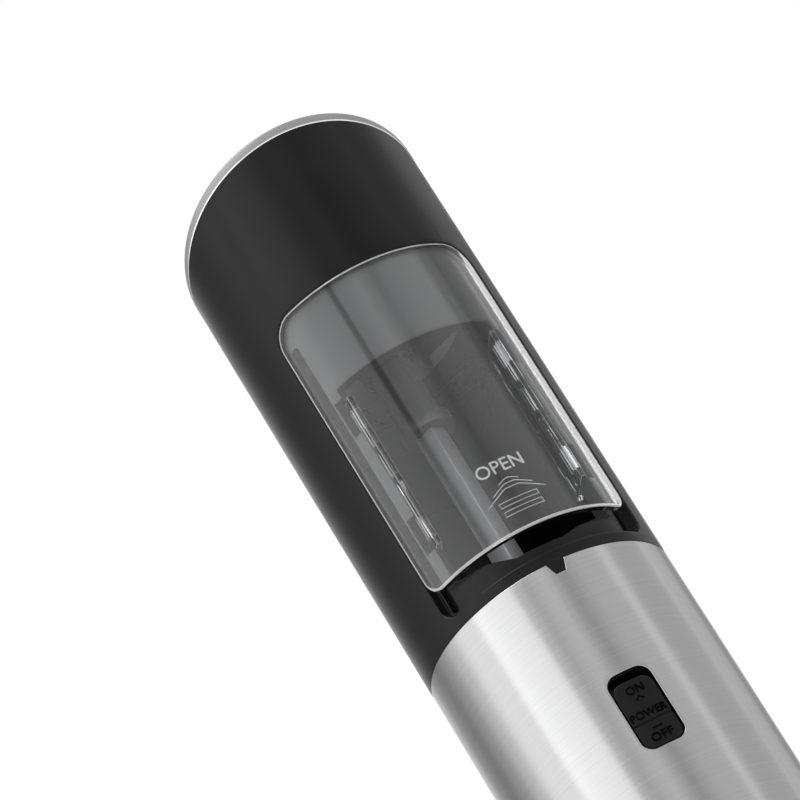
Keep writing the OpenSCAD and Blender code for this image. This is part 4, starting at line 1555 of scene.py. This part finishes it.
def dress_frame(shop: Workshop) -> None:
    """Gives every CAD node that still shows the finish of its slot.

    Args:
        shop: datums and finishes.
    """
    slots = {s["node"]: s["material_slot"] for s in frame["record"]["subparts"]}
    for name, obj in frame["nodes"].items():
        if not obj.hide_render:
            obj.data.materials.clear()
            obj.data.materials.append(shop.finishes[slots[name]])


# ---- Studio ----


@dataclass(frozen=True)
class Softbox:
    """A flat soft light that faces the mill.

    Args:
        name: name of the light.
        azimuth: its middle, from the front towards +X, in degrees.
        elevation: its middle above the horizon, in degrees.
        half_w: half its width as an angle, in degrees.
        half_h: half its height as an angle, in degrees.
        radiance: how bright its face is.
        receivers: names of the pieces that it lights; empty for all.
    """

    name: str
    azimuth: float
    elevation: float
    half_w: float
    half_h: float
    radiance: float
    receivers: tuple[str, ...] = ()

    def build(self, aim: Vector, distance: float = 1.4) -> None:
        """Places the light.

        Args:
            aim: point that it faces.
            distance: distance from that point.
        """
        light = bpy.data.lights.new(self.name, "AREA")
        light.shape = "RECTANGLE"
        light.size = 2 * distance * math.tan(math.radians(self.half_w))
        light.size_y = 2 * distance * math.tan(math.radians(self.half_h))
        light.energy = self.radiance * math.pi * light.size * light.size_y
        obj = new_object(self.name, light)
        obj.location = aim + direction(self.azimuth, self.elevation) * distance
        obj.rotation_euler = (aim - obj.location).to_track_quat("-Z", "Y").to_euler()
        obj.visible_camera = False
        if self.receivers:
            group = bpy.data.collections.new(self.name + "_receivers")
            for name in self.receivers:
                group.objects.link(bpy.data.objects[name])
            obj.light_linking.receiver_collection = group


def direction(azimuth: float, elevation: float) -> Vector:
    """Unit vector towards an azimuth from the front and an elevation, in degrees."""
    a, e = math.radians(azimuth), math.radians(elevation)
    return Vector((math.cos(e) * math.sin(a), -math.cos(e) * math.cos(a), math.sin(e)))


@dataclass(frozen=True)
class Studio:
    """Pale floor, white surround with soft light and dark bands, softboxes and the camera.

    Args:
        aim: point that the camera looks at.
        azimuth: camera's azimuth in degrees.
        elevation: camera's elevation in degrees; it looks up at the mill.
        distance: camera's distance.
        roll: how far the camera is rolled, in degrees.
        lens: focal length on a 36 mm sensor.
        bands: brightness of the surround by azimuth in degrees.
        level: brightness of the surround overhead and underfoot.
    """

    aim: tuple[float, float, float] = (-0.0014, 0.0004, 0.1706)
    azimuth: float = -15.9
    elevation: float = -27.4
    distance: float = 1.101
    roll: float = 31.92
    lens: float = 255.1
    bands: tuple[tuple[float, float], ...] = (
        *((-180.0, 0.9), (-168.0, 0.75), (-152.0, 0.5), (-136.0, 0.38), (-120.0, 0.6)),
        *((-104.0, 1.05), (-88.0, 1.7), (-66.0, 1.6), (-50.0, 1.3), (-28.0, 1.15)),
        *((-26.0, 0.2), (-22.5, 0.2), (-20.0, 0.85), (-16.0, 0.75), (-8.0, 0.95)),
        *((0.0, 1.05), (8.0, 0.8), (16.0, 0.55), (24.0, 0.75), (34.0, 0.88)),
        *((60.0, 0.88), (67.0, 0.42), (96.0, 0.42), (112.0, 0.9), (124.0, 0.75)),
        *((136.0, 0.42), (146.0, 0.42), (154.0, 0.9), (168.0, 1.6), (180.0, 0.9)),
    )
    level: float = 0.9

    def build(self) -> None:
        """Builds the whole studio."""
        self._surround()
        self._floor()
        self._camera()
        aim = Vector((0.0, 0.0, 0.15))
        cover = ("clear_refill_cover", "cover_rails", "cover_marks")
        others = tuple(o.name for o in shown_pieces() if o.name not in cover)
        for box in (
            Softbox("key_softbox", -35.0, 68.0, 14.0, 14.0, 5.0),
            Softbox("body_softbox_left", -44.0, 27.0, 22.0, 35.0, 0.65, others),
            Softbox("body_softbox_right", 80.0, 27.0, 24.0, 35.0, 0.35, others),
            Softbox("cover_softbox", 23.0, 27.0, 43.0, 35.0, 0.25, cover),
            Softbox("cover_edge_strip", 117.0, 27.0, 4.0, 35.0, 2.6, cover),
        ):
            box.build(aim)
        bpy.context.scene.view_settings.view_transform = "Standard"

    def _surround(self) -> None:
        """Makes the world: white to the camera, banded soft light for the mill."""
        world = bpy.data.worlds.new("studio")
        world.use_nodes = True
        bpy.context.scene.world = world
        g = Graph(world.node_tree)
        split = g.add("SeparateXYZ", {"Vector": g.add("TexCoord").outputs["Generated"]})
        back = g.maths("MULTIPLY", split.outputs["Y"], -1.0)
        angle = g.maths("ARCTAN2", split.outputs["X"], back)
        turn = g.maths("MULTIPLY_ADD", angle, 1.0 / math.tau, 0.5)
        top = max(brightness for _, brightness in self.bands)
        upright = g.maths("ABSOLUTE", split.outputs["Z"])
        reach = {"Value": upright, "From Min": 0.7, "From Max": 0.95}
        steep = g.add("MapRange", reach, interpolation_type="SMOOTHSTEP")
        cap = self.level / top
        shades = {
            "Fac": steep.outputs["Result"],
            "Color1": self._ramp(g, turn, top),
            "Color2": (cap, cap, cap, 1.0),
        }
        mix = g.add("MixRGB", shades)
        lit = g.add("Background", {"Strength": top, "Color": mix.outputs["Color"]})
        plain = g.add("Background", {"Color": (1.0, 1.0, 1.0, 1.0)})
        seen = g.add("LightPath").outputs["Is Camera Ray"]
        g.add("OutputWorld", {"Surface": g.blend(seen, lit, plain)})

    def _ramp(self, g: Graph, turn: bpy.types.NodeSocket, top: float) -> bpy.types.NodeSocket:
        """Adds the colour ramp of the bands.

        Args:
            g: the world's nodes.
            turn: share of a turn from the back of the mill.
            top: brightness that stands for white.

        Returns:
            The ramp's colour.
        """
        ramp = g.add("ValToRGB", {"Fac": turn})
        ramp.color_ramp.interpolation = "EASE"
        stops = ramp.color_ramp.elements
        while len(stops) > 1:
            stops.remove(stops[-1])
        for i, (azimuth, brightness) in enumerate(self.bands):
            place, shade = (azimuth + 180.0) / 360.0, brightness / top
            stop = stops[0] if i == 0 else stops.new(place)
            stop.position = place
            stop.color = (shade, shade, shade, 1.0)
        return ramp.outputs["Color"]

    def _floor(self) -> None:
        """Makes a pale floor that can't be seen from below."""
        bm = bmesh.new()
        bmesh.ops.create_grid(bm, x_segments=8, y_segments=8, size=4.0)
        mesh = as_mesh(bm, "floor")
        material, g = new_material("pale_floor")
        shader = g.add("BsdfPrincipled", {"Base Color": (0.86, 0.86, 0.86, 1.0), "Roughness": 0.7})
        below = g.add("NewGeometry").outputs["Backfacing"]
        g.add("OutputMaterial", {"Surface": g.blend(below, shader, g.add("BsdfTransparent"))})
        mesh.materials.append(material)
        new_object("floor", mesh)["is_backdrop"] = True

    def _camera(self) -> None:
        """Places the camera."""
        data = bpy.data.cameras.new("camera")
        data.sensor_width = 36.0
        data.lens = self.lens
        data.clip_start = 0.05
        data.clip_end = 20.0
        camera = new_object("camera", data)
        aim = Vector(self.aim)
        place = aim + direction(self.azimuth, self.elevation) * self.distance
        ahead = (aim - place).normalized()
        right = ahead.cross(Vector(UP)).normalized()
        down = ahead.cross(right)
        roll = math.radians(self.roll)
        across = math.cos(roll) * right + math.sin(roll) * down
        up = math.sin(roll) * right - math.cos(roll) * down
        camera.matrix_world = Matrix.Translation(place) @ Matrix((across, up, -ahead)).transposed().to_4x4()
        bpy.context.scene.camera = camera


def main() -> None:
    """Builds the mill's pieces and the studio."""
    logging.basicConfig(level=logging.INFO, format="%(name)s: %(message)s")
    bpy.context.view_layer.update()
    shop = Workshop(at=Datums.read(), finishes={f.slot: f.build() for f in FINISHES})
    for assembly in (LowerBody(shop), Head(shop), RefillCover(shop), Drive(shop), OutletLid(shop)):
        LOG.info("building %s", type(assembly).__name__)
        assembly.build()
    dress_frame(shop)
    Studio().build()


if __name__ == "__main__":
    main()
